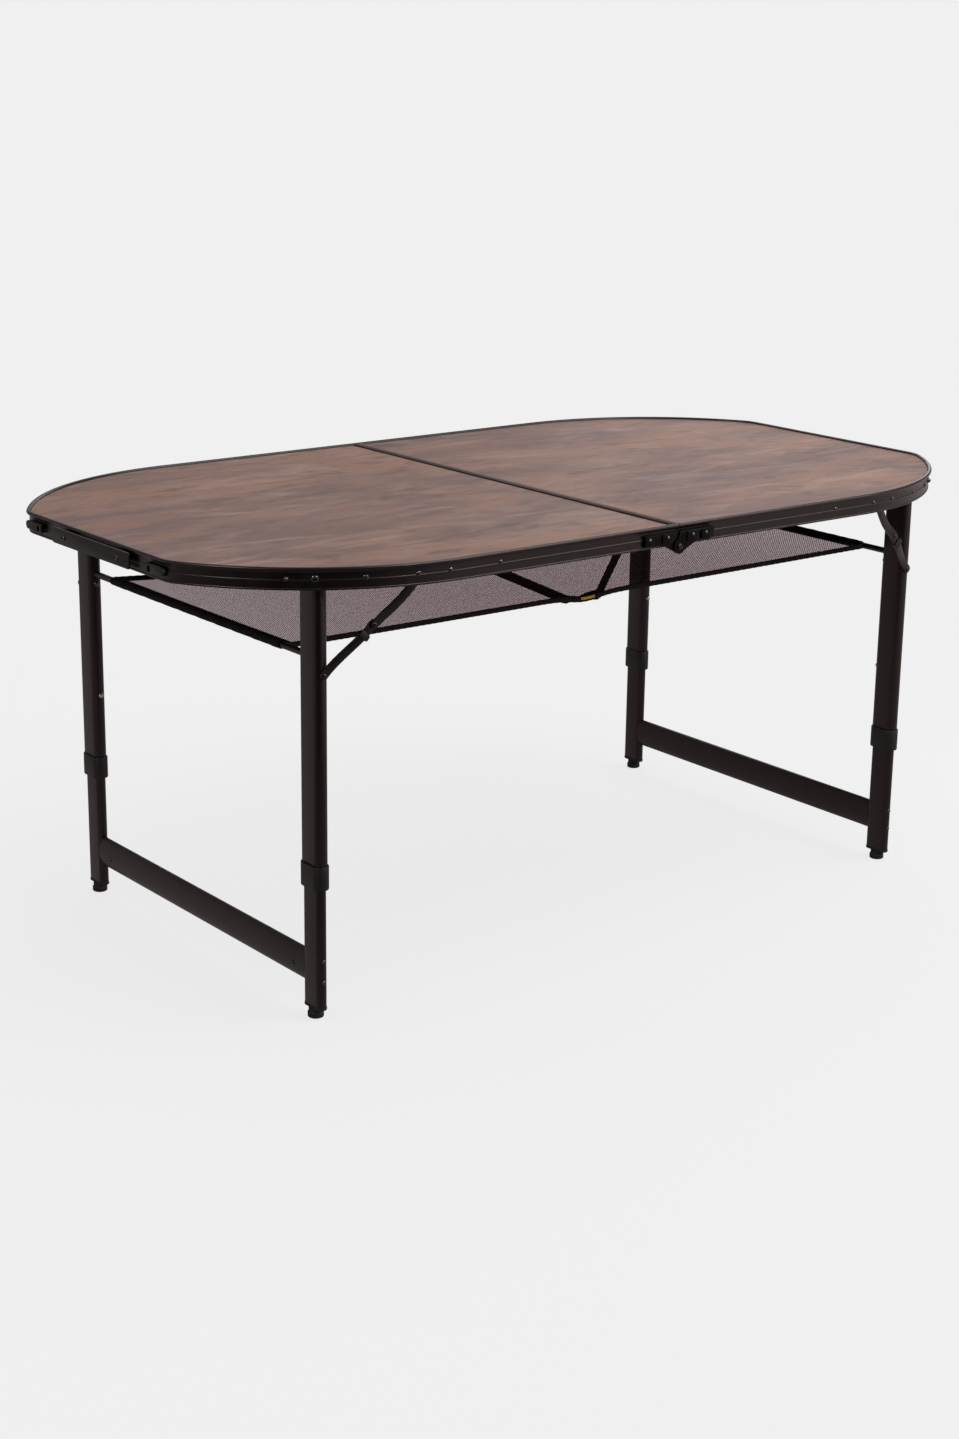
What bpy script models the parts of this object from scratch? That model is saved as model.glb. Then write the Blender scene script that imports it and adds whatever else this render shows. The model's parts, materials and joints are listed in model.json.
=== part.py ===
"""Folding camp kitchen table: two hinged half tops, folding height-set leg frames and a storage net.

Metres, +Z up. The origin is on the floor under the middle of the top, +X runs along the long side and
the handle end is at -X. Every piece is modelled where it stands with the table open.
"""
import math

import bmesh
import bpy
from mathutils import Vector

# Overall sizes
LENGTH = 1.500
WIDTH = 0.840
HEIGHT = 0.675
END_STRAIGHT = 0.376
CORNER_RADIUS = 0.061
CORNER_TURN = math.radians(30.2)

# Clearances
GAP = 0.0003
SEAM_GAP = 0.001
LAYER_GAP = 0.0005
FOLD_CLEARANCE = 0.0027
PIN_CLEARANCE = 0.0003

# Edge rail section
RAIL_HEIGHT = 0.033
BEAD_RADIUS = 0.0032
FACE_SETBACK = 0.0045
RAIL_WALL = 0.002
RIDGE_PROUD = 0.0008
RIDGE_DROP = 0.0188
RIDGE_HEIGHT = 0.0022
LEDGE_WIDTH = 0.008
LEDGE_THICKNESS = 0.002

# Table boards and the rails along the seam
PANEL_THICKNESS = 0.005
PANEL_RECESS = 0.0035
SEAM_LIP_WIDTH = 0.009
SEAM_LIP_RECESS = 0.0015
SEAM_LIP_CHAMFER = 0.0015

# Centre hinges
HINGE_DROP = 0.0015
HINGE_LEAF_LENGTH = 0.068
HINGE_LEAF_MARGIN = 0.0045
HINGE_LEAF_THICKNESS = 0.0025
HINGE_LEAF_DROP = 0.0115
HINGE_LOBE_RADIUS = 0.011
HINGE_SHOULDER = 0.034
HINGE_PIN_RADIUS = 0.003
HINGE_HEAD_RADIUS = 0.0055
HINGE_HEAD_HEIGHT = 0.0022

# Handle and case latches on the short ends
FITTING_DROP = 0.0185
HANDLE_LENGTH = 0.224
HANDLE_HEIGHT = 0.024
HANDLE_THICKNESS = 0.003
HANDLE_SPACER_LENGTH = 0.024
HANDLE_SPACER_HEIGHT = 0.014
HANDLE_SPACER_POSITION = 0.078
HANDLE_FINGER_GAP = 0.0055
LATCH_POSITION = 0.194
LATCH_WIDTH = 0.013
LATCH_THICKNESS = 0.006
LATCH_TIP = 0.006
KEEPER_POST_RADIUS = 0.0035
KEEPER_HEAD_RADIUS = 0.007
KEEPER_HEAD_HEIGHT = 0.004

# Legs: width is across X and depth along Y
LEG_END_INSET = 0.165
LEG_SIDE_INSET = 0.101
LEG_WIDTH = 0.022
LEG_DEPTH = 0.048
TUBE_WALL = 0.0014
SLIDE_CLEARANCE = 0.0011
COLLAR_WALL = 0.0017
COLLAR_BOTTOM = 0.200
COLLAR_HEIGHT = 0.036
COLLAR_LIP = 0.006
LOWER_LEG_TOP = 0.375
LEG_HEAD = 0.022
LEG_PIN_RADIUS = 0.004
LEG_PIN_LENGTH = 0.046
LEG_BUSH_RADIUS = 0.007

# Feet, the bar between them and the height setting
FOOT_LIFT = 0.015
FOOT_RADIUS = 0.012
FOOT_NECK_RADIUS = 0.0105
FOOT_PAD = 0.009
FOOT_CHAMFER = 0.0015
FOOT_STUD_RADIUS = 0.005
FOOT_STUD_LENGTH = 0.011
FOOT_PLUG = 0.012
FOOT_BAR_WIDTH = 0.016
FOOT_BAR_HEIGHT = 0.050
FOOT_BAR_LEVEL = 0.075
BUTTON_LEVEL = 0.340
BUTTON_RADIUS = 0.004
BUTTON_PROUD = 0.004
SETTING_PITCH = 0.030
SETTING_COUNT = 4

# Leg brackets and folding braces
BRACKET_GAP = 0.0006
BRACKET_THICKNESS = 0.0025
BRACKET_DROP = 0.0125
BRACKET_MARGIN = 0.003
BRACKET_PAST_LEG = 0.055
BRACKET_PAST_BRACE = 0.018
BRACE_REACH = 0.133
BRACE_RISE = 0.008
BRACE_LEG_DROP = 0.1315
BRACE_UPPER_LENGTH = 0.0970
BRACE_WIDTH = 0.013
BRACE_THICKNESS = 0.003
BRACE_BOW = 0.005
BRACE_SPREAD = 0.024
BRACE_SPACER = 0.0155
BRACE_SPACER_RADIUS = 0.006
BRACE_PIN_RADIUS = 0.0035
BRACE_PIN_LENGTH = 0.005

# Storage net, its rods, straps and pull tab
ROD_RADIUS = 0.005
ROD_LEVEL = 0.539
SLEEVE_WALL = 0.0018
SLEEVE_END_MARGIN = 0.010
NET_LEG_MARGIN = 0.045
NET_EDGE_BOW = 0.040
NET_EDGE_SAG = 0.014
NET_MIDDLE_SAG = 0.014
NET_THICKNESS = 0.0015
NET_HEM = 0.014
NET_STRAND = 0.004
NET_GAPS_LONG = 20
NET_GAPS_WIDE = 10
STRAP_WIDTH = 0.016
STRAP_THICKNESS = 0.0015
STRAP_ANCHOR_X = 0.316
STRAP_ANCHOR_Y = 0.020
STRAP_ANCHOR_TAB = 0.030
STRAP_HEM_RUN = 0.045
TAB_LENGTH = 0.040
TAB_HEIGHT = 0.008
TAB_THICKNESS = 0.001
TAB_SHIFT = 0.010

# Facets
ARC_STEP = math.radians(4)
ROUND_STEPS = 12
OVAL_STEPS = 8
OVERRUN = 0.002

# Finishes: linear colour, roughness, metallic
WOOD_PRINT = ((0.262, 0.171, 0.141), 0.55, 0.0)
BLACK_METAL = ((0.017, 0.013, 0.013), 0.42, 0.6)
SEAM_METAL = ((0.060, 0.052, 0.052), 0.40, 0.6)
BLACK_PLASTIC = ((0.012, 0.010, 0.010), 0.55, 0.0)
BRIGHT_STEEL = ((0.45, 0.44, 0.43), 0.30, 1.0)
NET_MESH = ((0.216, 0.181, 0.188), 0.85, 0.0)
BLACK_WEBBING = ((0.010, 0.009, 0.010), 0.85, 0.0)
YELLOW_WEBBING = ((0.550, 0.330, 0.020), 0.80, 0.0)

SIGN = {"left": -1, "right": 1, "front": -1, "rear": 1}

# Sections that slide or fit inside each other
upper_oval = (LEG_WIDTH, LEG_DEPTH)
lower_oval = tuple(size - 2 * (TUBE_WALL + SLIDE_CLEARANCE) for size in upper_oval)
collar_oval = tuple(size + 2 * (GAP + COLLAR_WALL) for size in upper_oval)
bar_oval = (FOOT_BAR_WIDTH, FOOT_BAR_HEIGHT)

# Places that several pieces share
half_length = LENGTH / 2
half_width = WIDTH / 2
corner_centre = Vector((half_length - CORNER_RADIUS, END_STRAIGHT / 2))
corner_rise = corner_centre.y + CORNER_RADIUS * math.sin(CORNER_TURN)
side_radius = (half_width - corner_rise) / (1 - math.sin(CORNER_TURN))
side_centre = Vector((
    corner_centre.x + (CORNER_RADIUS - side_radius) * math.cos(CORNER_TURN),
    half_width - side_radius,
))
panel_top = HEIGHT - PANEL_RECESS
panel_bottom = panel_top - PANEL_THICKNESS
ledge_top = panel_bottom - GAP
ledge_bottom = ledge_top - LEDGE_THICKNESS
rail_bottom = HEIGHT - RAIL_HEIGHT
leaf_top = HEIGHT - HINGE_LEAF_DROP
leaf_bottom = rail_bottom + HINGE_LEAF_MARGIN
bead_inside = 2 * BEAD_RADIUS
ledge_inside = bead_inside + LEDGE_WIDTH
rail_inside = FACE_SETBACK + RAIL_WALL
rail_seat = FACE_SETBACK - RIDGE_PROUD - GAP
end_seat = half_length - rail_seat
fitting_level = HEIGHT - FITTING_DROP
hinge_level = rail_bottom - HINGE_DROP
leg_x = half_length - LEG_END_INSET
leg_y = half_width - LEG_SIDE_INSET
leg_pivot_level = ledge_bottom - FOLD_CLEARANCE - collar_oval[0] / 2
upper_leg_bottom = COLLAR_BOTTOM + COLLAR_LIP + GAP
brace_rail = Vector((leg_x - BRACE_REACH, leg_pivot_level + BRACE_RISE))
brace_leg = Vector((leg_x, leg_pivot_level - BRACE_LEG_DROP))
brace_joint = brace_rail + (brace_leg - brace_rail).normalized() * BRACE_UPPER_LENGTH
net_half_length = leg_x - ROD_RADIUS - GAP - SLEEVE_WALL / 2
net_half_width = leg_y - LEG_DEPTH / 2 - NET_LEG_MARGIN
sleeve_reach = net_half_width - SLEEVE_END_MARGIN

bodies = {}


def circle(radius, steps=ROUND_STEPS, centre=(0.0, 0.0)):
    """Points of a circle, counter-clockwise."""
    turns = [2 * math.pi * k / steps for k in range(steps)]
    return [(centre[0] + radius * math.cos(t), centre[1] + radius * math.sin(t)) for t in turns]


def arc(radius, start, end, steps, centre=(0.0, 0.0)):
    """Points of an arc from one angle to another, both included."""
    angles = [start + (end - start) * k / steps for k in range(steps + 1)]
    return [(centre[0] + radius * math.cos(t), centre[1] + radius * math.sin(t)) for t in angles]


def oval(size, centre=(0.0, 0.0), grow=0.0):
    """Outline of a flat-oval section: two half circles joined by straight sides."""
    wide, deep = (s + 2 * grow for s in size)
    radius = min(wide, deep) / 2
    if deep >= wide:
        shift, quarter = (0.0, deep / 2 - radius), 0.0
    else:
        shift, quarter = (wide / 2 - radius, 0.0), -math.pi / 2
    far = (centre[0] + shift[0], centre[1] + shift[1])
    near = (centre[0] - shift[0], centre[1] - shift[1])
    first = arc(radius, quarter, quarter + math.pi, OVAL_STEPS, far)
    return first + arc(radius, quarter + math.pi, quarter + 2 * math.pi, OVAL_STEPS, near)


def loft(rings):
    """One closed solid through matching rings of points, capped at both ends."""
    solid = bmesh.new()
    rows = [[solid.verts.new(point) for point in ring] for ring in rings]
    count = len(rows[0])
    for row, following in zip(rows, rows[1:]):
        for k in range(count):
            after = (k + 1) % count
            solid.faces.new((row[k], row[after], following[after], following[k]))
    solid.faces.new(list(reversed(rows[0])))
    solid.faces.new(rows[-1])
    bmesh.ops.recalc_face_normals(solid, faces=solid.faces)
    return solid


def prism(outline, axis, low, high):
    """An outline pushed along an axis: (x, y) along Z, (x, z) along Y or (y, z) along X."""
    turn = {
        "Z": lambda u, v, w: (u, v, w),
        "Y": lambda u, v, w: (u, w, v),
        "X": lambda u, v, w: (w, u, v),
    }[axis]
    return loft([[turn(u, v, w) for u, v in outline] for w in (low, high)])


def box(low, high):
    """A block between two corners."""
    outline = [(low[0], low[1]), (high[0], low[1]), (high[0], high[1]), (low[0], high[1])]
    return prism(outline, "Z", low[2], high[2])


def turned(profile, axis, centre=(0.0, 0.0), steps=ROUND_STEPS):
    """A turned solid: each (radius, place) of the profile is a ring about the axis."""
    turn = {
        "Z": lambda u, v, w: (u, v, w),
        "Y": lambda u, v, w: (u, w, v),
        "X": lambda u, v, w: (w, u, v),
    }[axis]
    return loft([[turn(u, v, w) for u, v in circle(r, steps, centre)] for r, w in profile])


def as_object(solid, name):
    """A solid as a linked object, with the solid itself freed."""
    mesh = bpy.data.meshes.new(name)
    solid.to_mesh(mesh)
    solid.free()
    made = bpy.data.objects.new(name, mesh)
    bpy.context.scene.collection.objects.link(made)
    return made


def combine(operation, base, tools):
    """The base solid with each tool cut from it, joined to it or kept in common."""
    target = as_object(base, "base")
    helpers = [as_object(tool, "tool") for tool in tools]
    for helper in helpers:
        step = target.modifiers.new("step", "BOOLEAN")
        step.operation = operation
        step.solver = "EXACT"
        step.object = helper
    bpy.context.view_layer.update()
    shaped = target.evaluated_get(bpy.context.evaluated_depsgraph_get())
    result = bmesh.new()
    result.from_mesh(shaped.to_mesh())
    shaped.to_mesh_clear()
    for made in [target] + helpers:
        mesh = made.data
        bpy.data.objects.remove(made)
        bpy.data.meshes.remove(mesh)
    return result


def cut(base, *tools):
    """The base with every tool taken out of it."""
    return combine("DIFFERENCE", base, tools)


def joined(base, *tools):
    """The base and every tool as one body."""
    return combine("UNION", base, tools)


def mirrored(solid, side="right", end="rear"):
    """The solid moved from the right rear quarter to another one."""
    across, along = SIGN[side], SIGN[end]
    for vert in solid.verts:
        vert.co.x *= across
        vert.co.y *= along
    if across * along < 0:
        bmesh.ops.reverse_faces(solid, faces=solid.faces)
    return solid


def body(name, place, parent=None):
    """An empty on a moving body's joint axis, which its pieces hang from."""
    empty = bpy.data.objects.new(name + "_axis", None)
    empty.empty_display_size = 0.02
    bpy.context.scene.collection.objects.link(empty)
    place = Vector(place)
    empty.location = place
    if parent:
        empty.parent, base = bodies[parent]
        empty.location = place - base
    bodies[name] = (empty, place)


def piece(name, solid, owner, finish):
    """A finished, named piece hung from its body's axis, with its own material."""
    empty, place = bodies[owner]
    bmesh.ops.translate(solid, verts=solid.verts, vec=-place)
    made = as_object(solid, name)
    made.parent = empty
    made.data.shade_smooth()
    made.data.set_sharp_from_angle(angle=math.radians(32))
    colour, roughness, metallic = finish
    material = bpy.data.materials.new(name)
    material.use_nodes = True
    shader = material.node_tree.nodes["Principled BSDF"]
    shader.inputs["Base Color"].default_value = (*colour, 1.0)
    shader.inputs["Roughness"].default_value = roughness
    shader.inputs["Metallic"].default_value = metallic
    made.data.materials.append(material)


def edge_stations(seam):
    """Points and outward normals along the right half's edge, from the rear seam to the front seam."""
    side_steps = round((math.pi / 2 - CORNER_TURN) / ARC_STEP)
    corner_steps = round(CORNER_TURN / ARC_STEP)
    quarter = [(Vector((seam, half_width)), Vector((0.0, 1.0)))]
    sides = [math.pi / 2 + (CORNER_TURN - math.pi / 2) * k / side_steps for k in range(side_steps + 1)]
    corners = [CORNER_TURN * (1 - k / corner_steps) for k in range(1, corner_steps + 1)]
    bends = ((side_centre, side_radius, sides), (corner_centre, CORNER_RADIUS, corners))
    for centre, radius, angles in bends:
        for angle in angles:
            normal = Vector((math.cos(angle), math.sin(angle)))
            quarter.append((centre + normal * radius, normal))
    flip = Vector((1.0, -1.0))
    return quarter + [(point * flip, normal * flip) for point, normal in reversed(quarter)]


def edge_at(x, inset):
    """Point and outward normal on the rear edge at a given x, on a line set inside the outline."""
    side = side_radius - inset
    corner = CORNER_RADIUS - inset
    if x <= side_centre.x:
        return Vector((x, half_width - inset)), Vector((0.0, 1.0))
    if x <= side_centre.x + side * math.cos(CORNER_TURN):
        centre, radius = side_centre, side
    else:
        centre, radius = corner_centre, corner
    angle = math.acos((x - centre.x) / radius)
    normal = Vector((math.cos(angle), math.sin(angle)))
    return centre + normal * radius, normal


def rail_profile():
    """Section of the edge rail as (inset, drop) points: bead, ledge for the board, wall and ridge."""
    bead_low = math.asin((BEAD_RADIUS - FACE_SETBACK) / BEAD_RADIUS) - math.pi / 2
    bead = arc(BEAD_RADIUS, bead_low, math.pi, 8, (-BEAD_RADIUS, -BEAD_RADIUS))
    profile = [(-u, -v) for u, v in bead]
    ridge = FACE_SETBACK - RIDGE_PROUD
    profile += [
        (bead_inside, HEIGHT - ledge_top),
        (ledge_inside, HEIGHT - ledge_top),
        (ledge_inside, HEIGHT - ledge_bottom),
        (rail_inside, HEIGHT - ledge_bottom),
        (rail_inside, RAIL_HEIGHT),
        (ridge, RAIL_HEIGHT),
        (ridge, RAIL_HEIGHT - RIDGE_HEIGHT / 2),
        (FACE_SETBACK, RAIL_HEIGHT - RIDGE_HEIGHT),
        (FACE_SETBACK, RIDGE_DROP + RIDGE_HEIGHT / 2),
        (ridge, RIDGE_DROP + RIDGE_PROUD / 2),
        (ridge, RIDGE_DROP - RIDGE_PROUD / 2),
        (FACE_SETBACK, RIDGE_DROP - RIDGE_HEIGHT / 2),
    ]
    return profile


def edge_rail():
    """The extruded rail bent round three sides of one half."""
    profile = rail_profile()
    rings = []
    for point, normal in edge_stations(SEAM_GAP / 2):
        rings.append([(*(point - normal * inset), HEIGHT - drop) for inset, drop in profile])
    return loft(rings)


def panel():
    """The board that drops into the edge rail and the seam rail."""
    seam = SEAM_GAP / 2 + SEAM_LIP_WIDTH + GAP
    outline = [tuple(point - normal * (bead_inside + GAP)) for point, normal in edge_stations(seam)]
    return prism(outline, "Z", panel_bottom, panel_top)


def seam_rail():
    """The slim rail that holds the board along the seam; folded legs pass below it."""
    near = SEAM_GAP / 2
    lip = near + SEAM_LIP_WIDTH
    crest = HEIGHT - SEAM_LIP_RECESS
    shoulder = crest - SEAM_LIP_CHAMFER
    far_top, near_top = (lip - SEAM_LIP_CHAMFER, crest), (near + SEAM_LIP_CHAMFER, crest)
    lip_top = [(lip, shoulder), far_top, near_top, (near, shoulder)]
    ledge = near + SEAM_LIP_WIDTH + LEDGE_WIDTH
    section = [(near, ledge_bottom), (ledge, ledge_bottom), (ledge, ledge_top), (lip, ledge_top)] + lip_top
    between_ledges = half_width - ledge_inside - GAP
    between_beads = half_width - bead_inside - GAP
    lip_section = [(near, panel_bottom), (lip, panel_bottom)] + lip_top
    return joined(
        prism(section, "Y", -between_ledges, between_ledges),
        prism(lip_section, "Y", -between_beads, between_beads),
    )


def hinge_outline():
    """Outline of one hinge leaf in (x, z), reaching down to a round lobe about the hinge axis."""
    lobe = arc(HINGE_LOBE_RADIUS, math.radians(-40), math.radians(-260), 14, (0.0, hinge_level))
    outline = [(HINGE_LEAF_LENGTH, leaf_top), (HINGE_LEAF_LENGTH, leaf_bottom), (HINGE_SHOULDER, leaf_bottom)]
    return outline + lobe + [(SEAM_GAP / 2, leaf_top)]


def hinge_leaf(side):
    """One hinge leaf: the left one lies on the rail, the right one laps over it at the lobe."""
    seat = half_width - rail_seat
    lap = seat + HINGE_LEAF_THICKNESS
    hole = circle(HINGE_PIN_RADIUS + PIN_CLEARANCE, ROUND_STEPS, (0.0, hinge_level))
    bore = prism(hole, "Y", seat - OVERRUN, lap + HINGE_LEAF_THICKNESS + OVERRUN)
    if side == "left":
        return cut(prism(hinge_outline(), "Y", seat, lap), bore)
    outer = prism(hinge_outline(), "Y", lap + GAP, lap + GAP + HINGE_LEAF_THICKNESS)
    inner_end = HINGE_LOBE_RADIUS + HINGE_LEAF_THICKNESS
    packing_top = (HINGE_LEAF_LENGTH, lap + HINGE_LEAF_THICKNESS / 2, leaf_top)
    packing = box((inner_end, seat, leaf_bottom), packing_top)
    return cut(joined(outer, packing), bore)


def hinge_pin():
    """The rivet that both leaves turn on, with its domed head outside."""
    seat = half_width - rail_seat
    head = seat + 2 * (HINGE_LEAF_THICKNESS + GAP)
    profile = [
        (HINGE_PIN_RADIUS, seat),
        (HINGE_PIN_RADIUS, head),
        (HINGE_HEAD_RADIUS, head),
        (HINGE_HEAD_RADIUS * 0.8, head + HINGE_HEAD_HEIGHT * 0.7),
        (HINGE_HEAD_RADIUS * 0.4, head + HINGE_HEAD_HEIGHT),
    ]
    return turned(profile, "Y", (0.0, hinge_level))


def handle_spacer():
    """The block that holds one end of the handle off the rail."""
    along, up = HANDLE_SPACER_LENGTH / 2, HANDLE_SPACER_HEIGHT / 2
    low = (end_seat, HANDLE_SPACER_POSITION - along, fitting_level - up)
    high = (end_seat + HANDLE_FINGER_GAP, HANDLE_SPACER_POSITION + along, fitting_level + up)
    return box(low, high)


def handle_strap():
    """The flat carrying handle across the end rail."""
    inside = end_seat + HANDLE_FINGER_GAP + GAP
    outline = oval((HANDLE_LENGTH, HANDLE_HEIGHT), (0.0, fitting_level))
    return prism(outline, "X", inside, inside + HANDLE_THICKNESS)


def latch():
    """A case latch lying along the end rail, round at its pivot and notched to hook the keeper below."""
    reach = 2 * (fitting_level - hinge_level)
    half = LATCH_WIDTH / 2
    end = reach + KEEPER_POST_RADIUS + LATCH_TIP
    notch = arc(KEEPER_POST_RADIUS + PIN_CLEARANCE, math.pi, 0.0, 6, (reach, 0.0))
    shape = arc(half, math.pi / 2, math.pi * 3 / 2, 8)
    shape += [(notch[0][0], -half)] + notch + [(notch[-1][0], -half), (end, -half), (end, half)]
    outline = [(LATCH_POSITION - along, fitting_level + across) for along, across in shape]
    return prism(outline, "X", end_seat, end_seat + LATCH_THICKNESS)


def latch_keeper():
    """The mushroom knob that a case latch hooks when the halves are shut."""
    outside = end_seat + HANDLE_FINGER_GAP + GAP + HANDLE_THICKNESS
    neck = outside - KEEPER_HEAD_HEIGHT
    profile = [
        (KEEPER_POST_RADIUS, end_seat),
        (KEEPER_POST_RADIUS, neck),
        (KEEPER_HEAD_RADIUS, neck),
        (KEEPER_HEAD_RADIUS, outside - FOOT_CHAMFER),
        (KEEPER_HEAD_RADIUS - FOOT_CHAMFER, outside),
    ]
    return turned(profile, "X", (LATCH_POSITION, fitting_level))


def leg_bracket():
    """The strip riveted inside the rail, with the leg's pivot pin and the brace's stud on it."""
    inner = rail_inside + BRACKET_GAP + BRACKET_THICKNESS
    first = brace_rail.x - BRACKET_PAST_BRACE
    last = leg_x + BRACKET_PAST_LEG
    steps = 12
    top = HEIGHT - BRACKET_DROP
    rings = []
    for k in range(steps + 1):
        outside, normal = edge_at(first + (last - first) * k / steps, rail_inside + BRACKET_GAP)
        inside = outside - normal * BRACKET_THICKNESS
        low = rail_bottom + BRACKET_MARGIN
        rings.append([(*outside, low), (*outside, top), (*inside, top), (*inside, low)])
    leg_wall = edge_at(leg_x + LEG_BUSH_RADIUS, inner)[0].y + BRACKET_THICKNESS / 2
    leg_face = leg_y + LEG_DEPTH / 2 + GAP
    leg_place = (leg_x, leg_pivot_level)
    pin = prism(circle(LEG_PIN_RADIUS, ROUND_STEPS, leg_place), "Y", leg_face - LEG_PIN_LENGTH, leg_wall)
    bush = prism(circle(LEG_BUSH_RADIUS, ROUND_STEPS, leg_place), "Y", leg_face, leg_wall)
    brace_wall = edge_at(brace_rail.x + BRACE_SPACER_RADIUS, inner)[0].y + BRACKET_THICKNESS / 2
    link_face = brace_upper_plane() + BRACE_THICKNESS / 2 + GAP
    stud_end = link_face - BRACE_THICKNESS - GAP
    stud = prism(circle(BRACE_PIN_RADIUS, ROUND_STEPS, brace_rail), "Y", stud_end, brace_wall)
    spacer = prism(circle(BRACE_SPACER_RADIUS, ROUND_STEPS, brace_rail), "Y", link_face, brace_wall)
    return joined(loft(rings), bush, pin, spacer, stud)


def upper_leg():
    """The outer leg tube, solid and rounded at its pivot, drilled for the brace pin and the button."""
    place = (leg_x, leg_y)
    half = LEG_WIDTH / 2
    crown = leg_pivot_level + half
    tube = prism(oval(upper_oval, place), "Z", upper_leg_bottom, crown)
    side = half + OVERRUN
    envelope = [(leg_x - side, upper_leg_bottom - OVERRUN), (leg_x + side, upper_leg_bottom - OVERRUN)]
    envelope += [(leg_x + side, leg_pivot_level)]
    envelope += arc(half, 0.0, math.pi, 12, (leg_x, leg_pivot_level))
    envelope += [(leg_x - side, leg_pivot_level)]
    near, far = leg_y - LEG_DEPTH / 2, leg_y + LEG_DEPTH / 2
    rounding = prism(envelope, "Y", near - OVERRUN, far + OVERRUN)
    bore_top = leg_pivot_level - LEG_HEAD
    bore = prism(oval(upper_oval, place, -TUBE_WALL), "Z", upper_leg_bottom - OVERRUN, bore_top)
    pivot = circle(LEG_PIN_RADIUS + PIN_CLEARANCE, ROUND_STEPS, (leg_x, leg_pivot_level))
    pin_hole = prism(pivot, "Y", near - OVERRUN, far + OVERRUN)
    brace_pin = circle(BRACE_PIN_RADIUS + PIN_CLEARANCE, ROUND_STEPS, brace_leg)
    brace_hole = prism(brace_pin, "Y", far - 4 * TUBE_WALL, far + OVERRUN)
    button = circle(BUTTON_RADIUS + PIN_CLEARANCE, ROUND_STEPS, (leg_x, BUTTON_LEVEL))
    button_hole = prism(button, "Y", near - OVERRUN, near + 4 * TUBE_WALL)
    rounded = combine("INTERSECT", tube, [rounding])
    return cut(rounded, bore, pin_hole, brace_hole, button_hole)


def leg_collar():
    """The sleeve on the upper tube's end, with a lip that guides the lower tube."""
    place = (leg_x, leg_y)
    top = COLLAR_BOTTOM + COLLAR_HEIGHT
    sleeve = prism(oval(collar_oval, place), "Z", COLLAR_BOTTOM, top)
    socket = prism(oval(upper_oval, place, GAP), "Z", COLLAR_BOTTOM + COLLAR_LIP, top + OVERRUN)
    guide = prism(oval(lower_oval, place, GAP), "Z", COLLAR_BOTTOM - OVERRUN, top)
    return cut(sleeve, socket, guide)


def lower_leg():
    """The inner leg tube, plugged at its foot and drilled with the height-setting holes."""
    place = (leg_x, leg_y)
    tube = prism(oval(lower_oval, place), "Z", FOOT_LIFT, LOWER_LEG_TOP)
    plug_top = FOOT_LIFT + FOOT_PLUG
    bore = prism(oval(lower_oval, place, -TUBE_WALL), "Z", plug_top, LOWER_LEG_TOP + OVERRUN)
    stud_hole = circle(FOOT_STUD_RADIUS + PIN_CLEARANCE, ROUND_STEPS, place)
    thread = prism(stud_hole, "Z", FOOT_LIFT - OVERRUN, plug_top + OVERRUN)
    near = leg_y - lower_oval[1] / 2
    holes = []
    for k in range(SETTING_COUNT):
        hole = circle(BUTTON_RADIUS + PIN_CLEARANCE, ROUND_STEPS, (leg_x, BUTTON_LEVEL - k * SETTING_PITCH))
        holes.append(prism(hole, "Y", near - OVERRUN, near + 4 * TUBE_WALL))
    return cut(tube, bore, thread, *holes)


def leveling_foot():
    """The round screw foot under a leg, with its stud up inside the plug."""
    neck = FOOT_LIFT - GAP
    profile = [
        (FOOT_RADIUS - FOOT_CHAMFER, 0.0),
        (FOOT_RADIUS, FOOT_CHAMFER),
        (FOOT_RADIUS, FOOT_PAD),
        (FOOT_NECK_RADIUS, FOOT_PAD + FOOT_CHAMFER),
        (FOOT_NECK_RADIUS, neck),
        (FOOT_STUD_RADIUS, neck),
        (FOOT_STUD_RADIUS, neck + FOOT_STUD_LENGTH),
    ]
    return turned(profile, "Z", (leg_x, leg_y), 20)


def foot_bar():
    """The oval tube between the two feet of a frame, coped round the lower legs."""
    centre = (leg_x, FOOT_BAR_LEVEL)
    tube = prism(oval(bar_oval, centre), "Y", -leg_y, leg_y)
    bore = prism(oval(bar_oval, centre, -TUBE_WALL), "Y", -leg_y - OVERRUN, leg_y + OVERRUN)
    low, high = FOOT_BAR_LEVEL - FOOT_BAR_HEIGHT, FOOT_BAR_LEVEL + FOOT_BAR_HEIGHT
    copes = [prism(oval(lower_oval, (leg_x, leg_y * sign), GAP), "Z", low, high) for sign in (-1, 1)]
    return cut(tube, bore, *copes)


def snap_button():
    """The sprung pin in the upper tube's inner side that enters a height-setting hole."""
    outside = leg_y - LEG_DEPTH / 2
    profile = [
        (BUTTON_RADIUS, outside + TUBE_WALL),
        (BUTTON_RADIUS, outside - BUTTON_PROUD * 0.5),
        (BUTTON_RADIUS * 0.85, outside - BUTTON_PROUD * 0.8),
        (BUTTON_RADIUS * 0.45, outside - BUTTON_PROUD),
    ]
    return turned(profile, "Y", (leg_x, BUTTON_LEVEL))


def net_rod():
    """The round rod between the upper legs of a frame that carries one end of the net."""
    reach = leg_y - LEG_DEPTH / 2 - GAP
    return prism(circle(ROD_RADIUS, ROUND_STEPS, (leg_x, ROD_LEVEL)), "Y", -reach, reach)


def brace_lower_plane():
    """Middle of the lower link's thickness where it lies on the leg."""
    return leg_y + LEG_DEPTH / 2 + GAP + BRACE_THICKNESS / 2


def brace_upper_plane():
    """Middle of the upper link's thickness where it lies on its spacer at the rail."""
    inner = rail_inside + BRACKET_GAP + BRACKET_THICKNESS
    return edge_at(brace_rail.x, inner)[0].y - BRACE_SPACER - BRACE_THICKNESS / 2


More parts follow.
